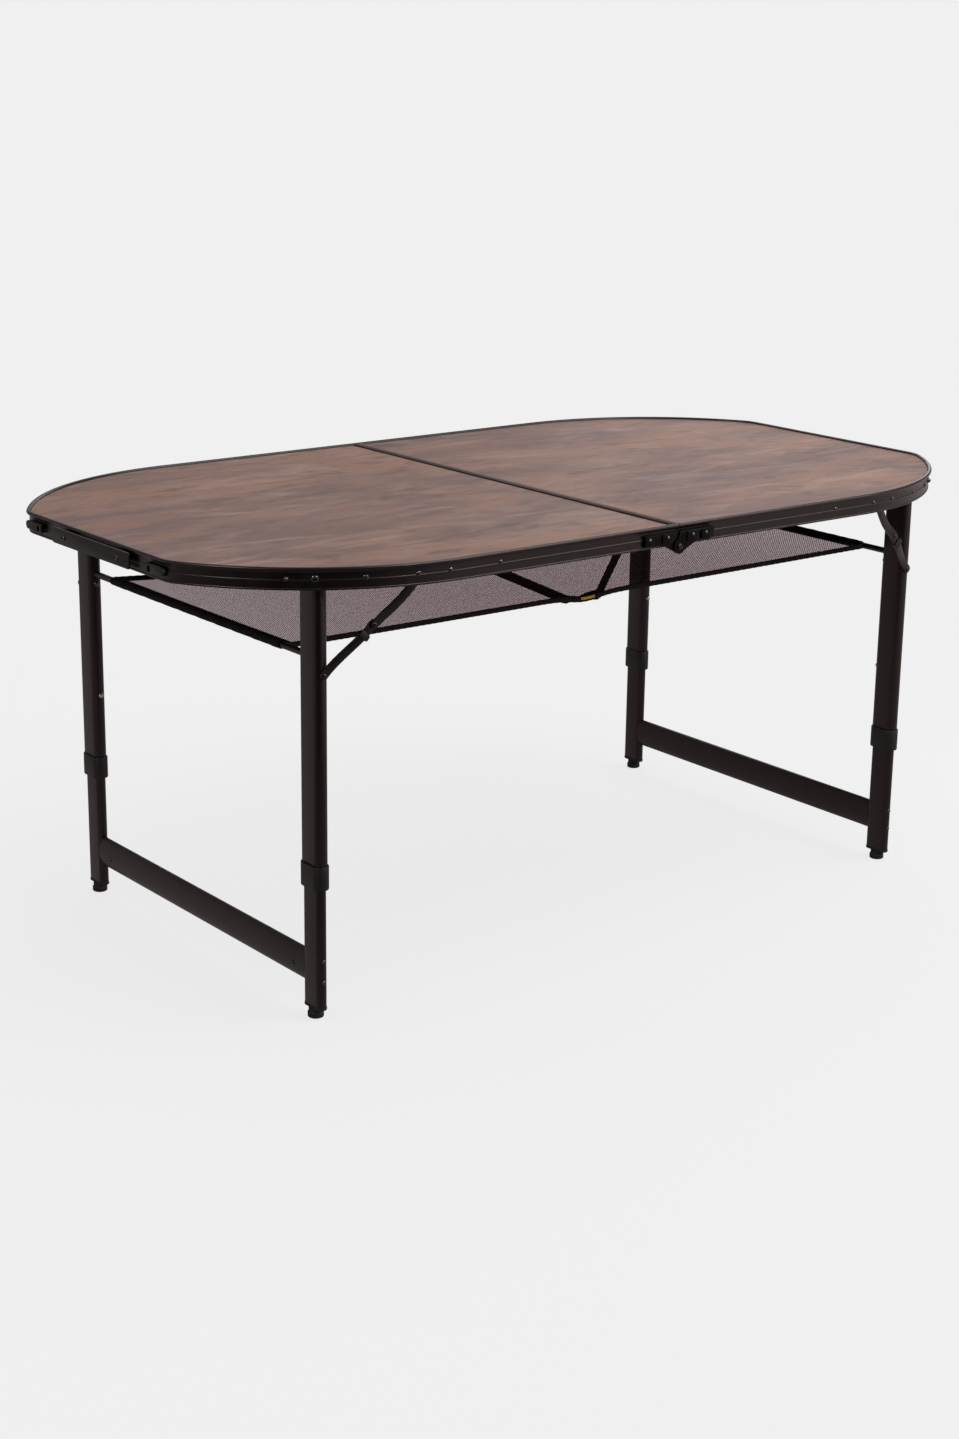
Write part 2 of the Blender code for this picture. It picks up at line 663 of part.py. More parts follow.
def link(start, end, start_plane, end_plane, bow):
    """A flat link between two pivots in (x, z), bowed to one side and set over in Y along its length."""
    run = end - start
    length = run.length
    along = run / length
    across = Vector((-along.y, along.x))
    half = BRACE_WIDTH / 2
    tips = [math.radians(angle) for angle in (20, 50, 80)]
    stations = [(-half * math.cos(t), half * math.sin(t)) for t in tips]
    stations += [(length * k / 8, half) for k in range(1, 8)]
    stations += [(length + half * math.cos(t), half * math.sin(t)) for t in reversed(tips)]
    rings = []
    for place, wide in stations:
        share = min(max(place / length, 0.0), 1.0)
        ease = share * share * (3 - 2 * share)
        plane = start_plane + (end_plane - start_plane) * ease
        middle = start + along * place + across * (bow * math.sin(math.pi * share))
        left, right = middle + across * wide, middle - across * wide
        faces = (plane - BRACE_THICKNESS / 2, plane + BRACE_THICKNESS / 2)
        rings.append([
            (left.x, faces[0], left.y), (left.x, faces[1], left.y),
            (right.x, faces[1], right.y), (right.x, faces[0], right.y),
        ])
    return loft(rings)


def brace_upper():
    """The bowed upper link, hung on the bracket's stud."""
    joint_plane = brace_lower_plane() + BRACE_SPREAD + BRACE_THICKNESS + LAYER_GAP
    strip = link(brace_rail, brace_joint, brace_upper_plane(), joint_plane, -BRACE_BOW)
    hole = circle(BRACE_PIN_RADIUS + PIN_CLEARANCE, ROUND_STEPS, brace_rail)
    plane = brace_upper_plane()
    return cut(strip, prism(hole, "Y", plane - OVERRUN, plane + OVERRUN))


def brace_lower():
    """The straight lower link, with its pin in the leg."""
    plane = brace_lower_plane()
    strip = link(brace_leg, brace_joint, plane, plane + BRACE_SPREAD, 0.0)
    pin_outline = circle(BRACE_PIN_RADIUS, ROUND_STEPS, brace_leg)
    return joined(strip, prism(pin_outline, "Y", plane - BRACE_THICKNESS / 2 - BRACE_PIN_LENGTH, plane))


def net_edge(x):
    """Half width of the net at x: its long edges bow inwards between the rods."""
    share = x / net_half_length
    return net_half_width - NET_EDGE_BOW * (1 - share * share)


def net_level(x, y):
    """Height of the net's middle surface, sagging between the rods and again between its edges."""
    share = x / net_half_length
    across = y / net_edge(x)
    return ROD_LEVEL - (1 - share * share) * (NET_EDGE_SAG + NET_MIDDLE_SAG * (1 - across * across))


def strand_lines(half, gaps):
    """Edges of the hem, the gaps and the strands along one direction of the net."""
    inside = half - NET_HEM
    pitch = (2 * inside + NET_STRAND) / gaps
    lines = [-half]
    for k in range(gaps):
        lines += [-inside + k * pitch, -inside + (k + 1) * pitch - NET_STRAND]
    return lines + [half]


def storage_net():
    """The net shelf: hem and strands as one open sheet, with a sleeve round each rod."""
    columns = strand_lines(net_half_length, NET_GAPS_LONG)
    rows = strand_lines(net_half_width, NET_GAPS_WIDE)
    net = bmesh.new()
    layers = []
    for shift in (-NET_THICKNESS / 2, NET_THICKNESS / 2):
        grid = []
        for x in columns:
            spread = net_edge(x) / net_half_width
            line = [(x, y * spread, net_level(x, y * spread) + shift) for y in rows]
            grid.append([net.verts.new(point) for point in line])
        layers.append(grid)
    low, high = layers
    last_column, last_row = len(columns) - 2, len(rows) - 2

    def filled(i, j):
        inside = 0 <= i <= last_column and 0 <= j <= last_row
        return inside and not (i % 2 and j % 2)

    for i in range(last_column + 1):
        for j in range(last_row + 1):
            if not filled(i, j):
                continue
            net.faces.new((high[i][j], high[i + 1][j], high[i + 1][j + 1], high[i][j + 1]))
            net.faces.new((low[i][j], low[i][j + 1], low[i + 1][j + 1], low[i + 1][j]))
            sides = {
                (i, j - 1): ((i, j), (i + 1, j)),
                (i + 1, j): ((i + 1, j), (i + 1, j + 1)),
                (i, j + 1): ((i + 1, j + 1), (i, j + 1)),
                (i - 1, j): ((i, j + 1), (i, j)),
            }
            for beside, ((a, b), (c, d)) in sides.items():
                if not filled(*beside):
                    net.faces.new((low[a][b], low[c][d], high[c][d], high[a][b]))
    sleeves = []
    for side in ("left", "right"):
        rod = (leg_x, ROD_LEVEL)
        around = circle(ROD_RADIUS + GAP + SLEEVE_WALL, ROUND_STEPS, rod)
        outer = prism(around, "Y", -sleeve_reach, sleeve_reach)
        bore = prism(circle(ROD_RADIUS + GAP, ROUND_STEPS, rod), "Y", -2 * sleeve_reach, 2 * sleeve_reach)
        sleeves.append(mirrored(cut(outer, bore), side))
    return joined(net, *sleeves)


def net_strap():
    """The webbing from a board, down over the middle of the net's hem and up to the other board."""
    lift = NET_THICKNESS / 2 + GAP + STRAP_THICKNESS / 2
    hem_y = net_edge(0.0) - STRAP_WIDTH / 2
    hem = net_level(0.0, net_edge(0.0)) + lift
    under = panel_bottom - GAP - STRAP_THICKNESS / 2
    right = [
        Vector((STRAP_HEM_RUN, hem_y, hem)),
        Vector((STRAP_ANCHOR_X, STRAP_ANCHOR_Y, under)),
        Vector((STRAP_ANCHOR_X + STRAP_ANCHOR_TAB, STRAP_ANCHOR_Y, under)),
    ]
    flip = Vector((-1.0, 1.0, 1.0))
    points = [point * flip for point in reversed(right)] + right
    up = Vector((0.0, 0.0, 1.0))
    rings = []
    for k, point in enumerate(points):
        before = points[max(k - 1, 0)]
        after = points[min(k + 1, len(points) - 1)]
        heading = (after - before).normalized()
        wide = up.cross(heading).normalized() * (STRAP_WIDTH / 2)
        thick = heading.cross(wide).normalized() * (STRAP_THICKNESS / 2)
        rings.append([point + wide + thick, point - wide + thick, point - wide - thick, point + wide - thick])
    return loft(rings)


def net_tab():
    """The small plain pull tab on the net's front hem."""
    low_x, high_x = TAB_SHIFT - TAB_LENGTH / 2, TAB_SHIFT + TAB_LENGTH / 2
    face = net_edge(max(abs(low_x), abs(high_x))) + GAP
    level = net_level(0.0, net_edge(0.0))
    return box(
        (low_x, -face - TAB_THICKNESS, level - TAB_HEIGHT / 2),
        (high_x, -face, level + TAB_HEIGHT / 2),
    )


def make_bodies():
    """Empties on every joint axis, from the tops down to the feet."""
    body("left_half", (0.0, 0.0, 0.0))
    body("right_half", (0.0, 0.0, hinge_level), "left_half")
    for side in ("left", "right"):
        x = SIGN[side] * leg_x
        body(f"leg_frame_{side}", (x, 0.0, leg_pivot_level), f"{side}_half")
        body(f"foot_frame_{side}", (x, 0.0, FOOT_BAR_LEVEL), f"leg_frame_{side}")
        for end in ("front", "rear"):
            y = SIGN[end] * leg_y
            corner = f"{side}_{end}"
            body(f"foot_{corner}", (x, y, 0.0), f"foot_frame_{side}")
            button_y = SIGN[end] * (leg_y - LEG_DEPTH / 2)
            body(f"button_{corner}", (x, button_y, BUTTON_LEVEL), f"leg_frame_{side}")
            rail_pivot = (SIGN[side] * brace_rail.x, SIGN[end] * brace_upper_plane(), brace_rail.y)
            leg_pivot = (SIGN[side] * brace_leg.x, SIGN[end] * brace_lower_plane(), brace_leg.y)
            body(f"brace_upper_{corner}", rail_pivot, f"{side}_half")
            body(f"brace_lower_{corner}", leg_pivot, f"leg_frame_{side}")
    for end in ("front", "rear"):
        body(f"latch_{end}", (-end_seat, SIGN[end] * LATCH_POSITION, fitting_level), "left_half")


def make_half(side):
    """The board, its rails and what is fixed to one half of the top."""
    half = f"{side}_half"
    piece(f"panel_{side}", mirrored(panel(), side), half, WOOD_PRINT)
    piece(f"edge_rail_{side}", mirrored(edge_rail(), side), half, BLACK_METAL)
    piece(f"seam_rail_{side}", mirrored(seam_rail(), side), half, SEAM_METAL)
    for end in ("front", "rear"):
        piece(f"hinge_leaf_{side}_{end}", mirrored(hinge_leaf(side), side, end), half, BLACK_METAL)
        piece(f"leg_bracket_{side}_{end}", mirrored(leg_bracket(), side, end), half, BLACK_METAL)


def make_end_fittings():
    """Hinge pins, the handle and latches of the left end and the keepers of the right end."""
    for end in ("front", "rear"):
        piece(f"hinge_pin_{end}", mirrored(hinge_pin(), "right", end), "left_half", BRIGHT_STEEL)
        piece(f"handle_spacer_{end}", mirrored(handle_spacer(), "left", end), "left_half", BLACK_PLASTIC)
        piece(f"case_latch_{end}", mirrored(latch(), "left", end), f"latch_{end}", BLACK_PLASTIC)
        piece(f"latch_keeper_{end}", mirrored(latch_keeper(), "right", end), "right_half", BLACK_PLASTIC)
    piece("handle_strap", mirrored(handle_strap(), "left"), "left_half", BLACK_PLASTIC)


def make_leg_frame(side):
    """One folding frame: upper tubes, collars, rod and braces, then the sliding lower tubes and feet."""
    frame, feet = f"leg_frame_{side}", f"foot_frame_{side}"
    for end in ("front", "rear"):
        corner = f"{side}_{end}"
        piece(f"upper_leg_{corner}", mirrored(upper_leg(), side, end), frame, BLACK_METAL)
        piece(f"leg_collar_{corner}", mirrored(leg_collar(), side, end), frame, BLACK_PLASTIC)
        piece(f"snap_button_{corner}", mirrored(snap_button(), side, end), f"button_{corner}", BRIGHT_STEEL)
        piece(f"lower_leg_{corner}", mirrored(lower_leg(), side, end), feet, BLACK_METAL)
        foot = mirrored(leveling_foot(), side, end)
        piece(f"leveling_foot_{corner}", foot, f"foot_{corner}", BLACK_PLASTIC)
        for name, link_solid in (("brace_upper", brace_upper()), ("brace_lower", brace_lower())):
            piece(f"{name}_{corner}", mirrored(link_solid, side, end), f"{name}_{corner}", BLACK_METAL)
    piece(f"net_rod_{side}", mirrored(net_rod(), side), frame, BLACK_METAL)
    piece(f"foot_bar_{side}", mirrored(foot_bar(), side), feet, BLACK_METAL)


def make_net():
    """The net shelf, its straps and its tab."""
    piece("storage_net", storage_net(), "left_half", NET_MESH)
    for end in ("front", "rear"):
        piece(f"net_strap_{end}", mirrored(net_strap(), "right", end), "left_half", BLACK_WEBBING)
    piece("net_tab", net_tab(), "left_half", YELLOW_WEBBING)


def main():
    """Clear the scene and build the table."""
    for made in list(bpy.data.objects):
        bpy.data.objects.remove(made)
    make_bodies()
    for side in ("left", "right"):
        make_half(side)
        make_leg_frame(side)
    make_end_fittings()
    make_net()


main()
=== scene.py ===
"""Looks of a folding camp kitchen table, built around its packed construction.

Metres, +Z up, in the construction's frame: the long side runs along X and the handle end is at -X.
"""
import json
import logging
import math
from contextlib import contextmanager
from dataclasses import dataclass
from enum import Enum
from functools import lru_cache
from typing import Any, Callable, Iterator, Optional, Protocol, Sequence, Union

import bmesh
import bpy
from mathutils import Matrix, Quaternion, Vector
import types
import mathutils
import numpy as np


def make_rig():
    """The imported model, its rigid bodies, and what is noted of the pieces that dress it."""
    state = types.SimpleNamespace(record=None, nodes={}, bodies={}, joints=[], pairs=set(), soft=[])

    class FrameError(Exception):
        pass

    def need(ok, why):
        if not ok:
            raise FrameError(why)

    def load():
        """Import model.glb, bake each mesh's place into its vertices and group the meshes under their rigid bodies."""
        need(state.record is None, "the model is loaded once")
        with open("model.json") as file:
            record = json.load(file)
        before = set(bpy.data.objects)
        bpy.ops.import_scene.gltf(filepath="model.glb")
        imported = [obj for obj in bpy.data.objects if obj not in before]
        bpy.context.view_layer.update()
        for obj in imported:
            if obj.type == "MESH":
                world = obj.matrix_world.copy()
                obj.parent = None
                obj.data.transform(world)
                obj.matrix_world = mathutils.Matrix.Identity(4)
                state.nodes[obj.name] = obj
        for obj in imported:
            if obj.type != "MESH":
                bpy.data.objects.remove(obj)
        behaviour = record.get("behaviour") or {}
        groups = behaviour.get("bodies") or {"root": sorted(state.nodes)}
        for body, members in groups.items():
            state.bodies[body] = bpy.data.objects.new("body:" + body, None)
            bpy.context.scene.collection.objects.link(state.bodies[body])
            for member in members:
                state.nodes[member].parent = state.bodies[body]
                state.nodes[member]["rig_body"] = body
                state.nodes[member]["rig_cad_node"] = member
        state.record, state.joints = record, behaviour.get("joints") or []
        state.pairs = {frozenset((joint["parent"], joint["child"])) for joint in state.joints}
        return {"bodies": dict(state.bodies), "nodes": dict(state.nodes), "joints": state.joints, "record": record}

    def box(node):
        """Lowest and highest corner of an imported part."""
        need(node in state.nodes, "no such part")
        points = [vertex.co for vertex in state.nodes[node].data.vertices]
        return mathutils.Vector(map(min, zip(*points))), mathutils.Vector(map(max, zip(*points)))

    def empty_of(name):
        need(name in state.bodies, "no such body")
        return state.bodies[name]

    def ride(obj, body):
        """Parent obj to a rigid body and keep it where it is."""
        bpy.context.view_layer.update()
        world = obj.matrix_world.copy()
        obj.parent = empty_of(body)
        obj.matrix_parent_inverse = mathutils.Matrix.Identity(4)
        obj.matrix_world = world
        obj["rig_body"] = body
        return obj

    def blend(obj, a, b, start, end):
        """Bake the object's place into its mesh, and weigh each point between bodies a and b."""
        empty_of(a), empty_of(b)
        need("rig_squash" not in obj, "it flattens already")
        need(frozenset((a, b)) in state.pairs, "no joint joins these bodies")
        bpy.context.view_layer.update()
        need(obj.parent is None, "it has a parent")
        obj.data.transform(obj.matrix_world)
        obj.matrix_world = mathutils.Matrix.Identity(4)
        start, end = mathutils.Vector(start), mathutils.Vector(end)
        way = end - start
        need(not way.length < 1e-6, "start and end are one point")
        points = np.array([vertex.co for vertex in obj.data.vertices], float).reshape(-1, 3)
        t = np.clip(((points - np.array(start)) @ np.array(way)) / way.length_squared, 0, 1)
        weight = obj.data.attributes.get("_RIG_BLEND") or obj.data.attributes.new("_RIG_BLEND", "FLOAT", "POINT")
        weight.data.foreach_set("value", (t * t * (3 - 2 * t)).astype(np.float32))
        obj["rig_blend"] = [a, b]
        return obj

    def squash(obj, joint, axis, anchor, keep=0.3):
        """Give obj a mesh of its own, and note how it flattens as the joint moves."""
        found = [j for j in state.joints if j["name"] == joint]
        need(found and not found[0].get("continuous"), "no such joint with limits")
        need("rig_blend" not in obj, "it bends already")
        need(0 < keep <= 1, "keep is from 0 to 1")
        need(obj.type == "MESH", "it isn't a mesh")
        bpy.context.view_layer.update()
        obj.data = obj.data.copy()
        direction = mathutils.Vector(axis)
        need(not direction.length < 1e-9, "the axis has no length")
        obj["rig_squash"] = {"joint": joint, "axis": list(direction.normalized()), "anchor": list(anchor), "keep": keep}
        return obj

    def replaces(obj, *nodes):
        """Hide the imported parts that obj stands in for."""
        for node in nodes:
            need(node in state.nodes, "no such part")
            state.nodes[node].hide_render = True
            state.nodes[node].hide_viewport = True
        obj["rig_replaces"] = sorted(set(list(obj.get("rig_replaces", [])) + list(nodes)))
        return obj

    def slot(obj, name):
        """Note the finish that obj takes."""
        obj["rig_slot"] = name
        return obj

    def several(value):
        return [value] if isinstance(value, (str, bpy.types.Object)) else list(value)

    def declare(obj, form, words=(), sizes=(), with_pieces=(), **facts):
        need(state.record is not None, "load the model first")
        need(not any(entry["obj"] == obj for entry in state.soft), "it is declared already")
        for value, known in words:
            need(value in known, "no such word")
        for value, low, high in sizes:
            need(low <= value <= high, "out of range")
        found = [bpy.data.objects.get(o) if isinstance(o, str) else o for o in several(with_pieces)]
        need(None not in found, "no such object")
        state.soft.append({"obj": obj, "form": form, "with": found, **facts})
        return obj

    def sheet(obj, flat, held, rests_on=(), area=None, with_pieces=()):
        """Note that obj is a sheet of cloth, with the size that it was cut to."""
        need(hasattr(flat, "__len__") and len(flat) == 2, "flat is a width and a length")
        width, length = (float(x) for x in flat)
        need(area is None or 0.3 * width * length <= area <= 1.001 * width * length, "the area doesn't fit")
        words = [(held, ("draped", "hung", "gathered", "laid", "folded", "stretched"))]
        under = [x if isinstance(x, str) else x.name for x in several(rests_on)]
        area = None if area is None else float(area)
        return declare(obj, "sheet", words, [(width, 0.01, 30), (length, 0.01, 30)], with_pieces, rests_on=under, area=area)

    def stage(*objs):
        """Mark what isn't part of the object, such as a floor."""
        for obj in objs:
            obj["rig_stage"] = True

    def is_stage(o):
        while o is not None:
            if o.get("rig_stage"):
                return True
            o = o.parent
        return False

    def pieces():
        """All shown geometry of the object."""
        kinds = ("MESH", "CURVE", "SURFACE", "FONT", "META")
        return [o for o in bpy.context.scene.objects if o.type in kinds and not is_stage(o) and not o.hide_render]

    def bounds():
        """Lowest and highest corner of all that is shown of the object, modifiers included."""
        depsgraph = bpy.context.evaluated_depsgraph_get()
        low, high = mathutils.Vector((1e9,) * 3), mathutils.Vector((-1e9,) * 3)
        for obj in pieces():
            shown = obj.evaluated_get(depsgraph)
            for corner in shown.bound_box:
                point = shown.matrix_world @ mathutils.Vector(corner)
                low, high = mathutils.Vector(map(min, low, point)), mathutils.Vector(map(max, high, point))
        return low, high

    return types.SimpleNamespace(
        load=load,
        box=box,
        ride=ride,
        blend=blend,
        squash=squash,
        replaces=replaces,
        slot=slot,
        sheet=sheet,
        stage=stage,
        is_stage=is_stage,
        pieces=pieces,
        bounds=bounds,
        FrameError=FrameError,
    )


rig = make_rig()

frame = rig.load()
cad_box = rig.bounds()

log = logging.getLogger("camp_table")

Point = tuple[float, float]
Triple = tuple[float, float, float]
Colour = tuple[float, float, float, float]
Span = tuple[float, ...]
Mesh = bpy.types.Object
Material = bpy.types.Material

SIZE_FILE = "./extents.json"


class Slot(Enum):
    """Material slots of the construction's record."""

    TOP = "top_print"
    SEAM = "seam_metal"
    RAIL = "rail_metal"
    LEG = "leg_metal"
    BRACE = "brace_metal"
    STEEL = "bright_steel"
    PLASTIC = "black_plastic"
    FOOT = "foot_plastic"
    NET = "net_mesh"
    WEBBING = "black_webbing"
    TAB = "yellow_webbing"


class Direction(Enum):
    """A way along one axis, of -1 or 1."""

    @property
    def word(self) -> str:
        """Its name in node and body names."""
        return self.name.lower()


class Side(Direction):
    """The half of the table that a piece belongs to, and its direction along X."""

    LEFT = -1
    RIGHT = 1

    @property
    def half(self) -> str:
        """The body of this half of the top."""
        return f"{self.word}_half"


class End(Direction):
    """The long edge that a piece is near, and its direction along Y."""

    FRONT = -1
    REAR = 1


CORNERS = [(side, end, f"{side.word}_{end.word}") for side in Side for end in End]


class Value:
    """A shader socket whose arithmetic adds Math nodes."""

    def __init__(self, graph: "Graph", socket: bpy.types.NodeSocket) -> None:
        """Keep the socket and the graph that it belongs to."""
        self.graph = graph
        self.socket = socket

    def _math(self, operation: str, first: "Number", second: "Number") -> "Value":
        """One Math node on two numbers or sockets."""
        return self.graph.add("ShaderNodeMath", {"operation": operation}, {0: first, 1: second})

    def __add__(self, other: "Number") -> "Value":
        """Self plus other."""
        return self._math("ADD", self, other)

    def __sub__(self, other: "Number") -> "Value":
        """Self minus other."""
        return self._math("SUBTRACT", self, other)

    def __rsub__(self, other: "Number") -> "Value":
        """Other minus self."""
        return self._math("SUBTRACT", other, self)

    def __mul__(self, other: "Number") -> "Value":
        """Self times other."""
        return self._math("MULTIPLY", self, other)

    __radd__ = __add__
    __rmul__ = __mul__

    def at_least(self, other: "Number") -> "Value":
        """The greater of self and other."""
        return self._math("MAXIMUM", self, other)


Number = Union[float, Value]


@dataclass(frozen=True)
class Noise:
    """One layer of noise over a piece, finer with a larger scale."""

    scale: float = 1.0
    detail: float = 2.0
    warp: float = 0.0
    stretch: Triple = (1.0, 1.0, 1.0)


class Graph:
    """The node tree of a material or a world, round its one shader."""

    def __init__(self, owner: Union[Material, bpy.types.World], shader: str = "Principled BSDF") -> None:
        """Open the owner's node tree.

        Args:
            owner: The material or world.
            shader: The name of its shader node.
        """
        self.owner = owner
        owner.use_nodes = True
        self.tree = owner.node_tree
        self.shader = self.tree.nodes[shader]

    @classmethod
    def for_material(cls, name: str) -> "Graph":
        """The graph of a new material."""
        return cls(bpy.data.materials.new(name))

    def _fill(self, node: bpy.types.Node, inputs: dict[Any, Any]) -> None:
        """Set a node's sockets.

        Args:
            node: The node.
            inputs: A plain value or a link for each socket, by name or number.
        """
        for key, value in inputs.items():
            if isinstance(value, Value):
                self.tree.links.new(value.socket, node.inputs[key])
            else:
                node.inputs[key].default_value = value

    def add(
        self,
        kind: str,
        settings: Optional[dict[str, Any]] = None,
        inputs: Optional[dict[Any, Any]] = None,
        output: Union[int, str] = 0,
    ) -> Value:
        """Add one node.

        Args:
            kind: The node's type.
            settings: Its own settings, set first.
            inputs: Values or links for its sockets, by name or number.
            output: The socket to hand back.

        Returns:
            That output.
        """
        node = self.tree.nodes.new(kind)
        for key, value in (settings or {}).items():
            setattr(node, key, value)
        self._fill(node, inputs or {})
        return Value(self, node.outputs[output])

    def place(self, scale: Sequence[float] = (1, 1, 1), shift: Sequence[float] = (0, 0, 0)) -> Value:
        """Object coordinates, stretched and shifted."""
        where = self.add("ShaderNodeTexCoord", output="Object")
        return self.add("ShaderNodeMapping", {}, {"Vector": where, "Scale": scale, "Location": shift})

    def along_cloth(self, scale: Sequence[float]) -> Value:
        """The piece's own UV map, counted in threads."""
        where = self.add("ShaderNodeTexCoord", output="UV")
        return self.add("ShaderNodeMapping", {}, {"Vector": where, "Scale": scale})

    def noise(self, layer: Noise, shift: Sequence[float] = (0, 0, 0)) -> Value:
        """A layer of noise from 0 to 1, with its pattern shifted."""
        sockets = {"Scale": layer.scale, "Detail": layer.detail, "Distortion": layer.warp}
        return self.add("ShaderNodeTexNoise", {}, {"Vector": self.place(layer.stretch, shift), **sockets})

    def between(self, value: Value, low: float, high: float, start: float = 0.0, end: float = 1.0) -> Value:
        """A value's stretch from low to high, spread from start to end and held there."""
        sockets = {"Value": value, "From Min": low, "From Max": high, "To Min": start, "To Max": end}
        return self.add("ShaderNodeMapRange", {}, sockets)

    def mix(self, share: Number, first: Union[Value, Colour], second: Union[Value, Colour]) -> Value:
        """Two colours mixed."""
        return self.add("ShaderNodeMix", {"data_type": "RGBA"}, {0: share, 6: first, 7: second}, 2)

    def bump(self, height: Value, distance: float, strength: float) -> Value:
        """A normal raised by a height."""
        sockets = {"Height": height, "Distance": distance, "Strength": strength}
        return self.add("ShaderNodeBump", {}, sockets, "Normal")

    def ray(self, kind: str) -> Value:
        """One for rays of a kind, else zero."""
        return self.add("ShaderNodeLightPath", output=f"Is {kind} Ray")

    def seen(self) -> Value:
        """One for camera and transmission rays, else zero."""
        return self.ray("Camera").at_least(self.ray("Transmission"))

    def vector(self, operation: str, output: Union[int, str], first: Any, second: Any = (0, 0, 0)) -> Value:
        """One output of a Vector Math node."""
        return self.add("ShaderNodeVectorMath", {"operation": operation}, {0: first, 1: second}, output)

    def let_through(self, share: float, colour: Colour) -> None:
        """Mix in what is behind thin cloth.

        Args:
            share: How much of it shows.
            colour: The tint that the cloth gives it.
        """
        through = self.add("ShaderNodeBsdfTransparent", {}, {"Color": colour})
        first = Value(self, self.shader.outputs[0])
        mixed = self.add("ShaderNodeMixShader", {}, {0: share, 1: first, 2: through})
        self._fill(self.tree.nodes["Material Output"], {"Surface": mixed})

    def finish(self, inputs: dict[str, Any]) -> Union[Material, bpy.types.World]:
        """Set the shader's sockets and hand the material or world back."""
        self._fill(self.shader, inputs)
        return self.owner


class Finish(Protocol):
    """Anything that can make its material."""

    def material(self) -> Material:
        """The material of this finish."""


@lru_cache(maxsize=None)
def material_of(finish: Finish) -> Material:
    """A finish's material, made once."""
    return finish.material()


@dataclass(frozen=True)
class WoodPrint:
    """Printed wood film on a board: smoky clouds of brown and grey with a fine grain along X."""

    name: str
    shift: Triple
    warm: Colour = (0.235, 0.126, 0.088, 1.0)
    smoke: Colour = (0.128, 0.079, 0.073, 1.0)
    pale: Colour = (0.318, 0.200, 0.162, 1.0)
    dark: Colour = (0.066, 0.042, 0.039, 1.0)
    backing: Colour = (0.048, 0.040, 0.036, 1.0)
    print_level: float = 0.6706
    print_fade: float = 0.0004
    drift: Noise = Noise(1.3, 4.0, 1.2, (1.5, 3.6, 1.0))
    clouds: Noise = Noise(1.0, 7.0, 1.6, (4.4, 13.0, 1.0))
    flecks: Noise = Noise(2.1, 8.0, 1.4, (4.4, 13.0, 1.0))
    streaks: Noise = Noise(1.0, 4.0, 0.7, (16.0, 150.0, 1.0))
    pores: Noise = Noise(1.0, 2.0, 0.0, (60.0, 700.0, 1.0))
    tone_shares: Triple = (0.62, 0.26, 0.12)
    grain_shares: Point = (0.4, 0.6)
    smoke_span: Span = (0.41, 0.58)
    pale_span: Span = (0.48, 0.70, 0.0, 0.66)
    fleck_span: Span = (0.52, 0.72, 0.0, 0.62)
    grain_span: Span = (0.38, 0.55, 0.40, 0.0)
    roughness: float = 0.44
    rough_spread: float = 0.16
    specular: float = 0.13
    relief: Point = (0.0002, 0.25)

    def material(self) -> Material:
        """Drifts of brown and grey, clouded, streaked along the grain and flecked, on a plain backing.

        Returns:
            The material.
        """
        graph = Graph.for_material(self.name)
        layers = (self.drift, self.clouds, self.streaks, self.pores)
        drift, clouds, streaks, pores = (graph.noise(layer, self.shift) for layer in layers)
        flecks = graph.noise(self.flecks, self.shift[::-1])
        slow, middling, fine = self.tone_shares
        tone = drift * slow + clouds * middling + streaks * fine
        colour = graph.mix(graph.between(tone, *self.smoke_span), self.warm, self.smoke)
        colour = graph.mix(graph.between(clouds, *self.pale_span), colour, self.pale)
        colour = graph.mix(graph.between(flecks, *self.fleck_span), colour, self.dark)
        of_pores, of_streaks = self.grain_shares
        grain = graph.between(pores * of_pores + streaks * of_streaks, *self.grain_span)
        height = graph.add("ShaderNodeSeparateXYZ", {}, {"Vector": graph.place()}, "Z")
        shown = graph.between(height, self.print_level, self.print_level + self.print_fade)
        return graph.finish({
            "Base Color": graph.mix(shown, self.backing, graph.mix(grain, colour, self.dark)),
            "Roughness": self.roughness + streaks * self.rough_spread,
            "Specular IOR Level": self.specular,
            "Normal": graph.bump(pores, *self.relief),
        })


@dataclass(frozen=True)
class PowderCoat:
    """Satin coat on aluminium, with a faint orange peel and rubbed spots."""

    name: str
    colour: Colour = (0.0026, 0.0017, 0.0017, 1.0)
    rubbed: Colour = (0.0050, 0.0034, 0.0034, 1.0)
    roughness: float = 0.22
    specular: float = 0.46
    tint: Colour = (1.0, 0.82, 0.80, 1.0)
    wear: Noise = Noise(38.0, 6.0, 0.4)
    peel: Noise = Noise(900.0)
    rub_span: Span = (0.52, 0.78, 0.0, 0.7)
    rough_spread: float = 0.16
    relief: Point = (0.0002, 0.10)

    def material(self) -> Material:
        """Rubbed patches lighten the coat and dull it a little.

        Returns:
            The material.
        """
        graph = Graph.for_material(self.name)
        wear = graph.noise(self.wear)
        rub = graph.between(wear, *self.rub_span)
        return graph.finish({
            "Base Color": graph.mix(rub, self.colour, self.rubbed),
            "Roughness": self.roughness + wear * self.rough_spread,
            "Specular IOR Level": self.specular,
            "Specular Tint": self.tint,
            "Normal": graph.bump(graph.noise(self.peel), *self.relief),
        })


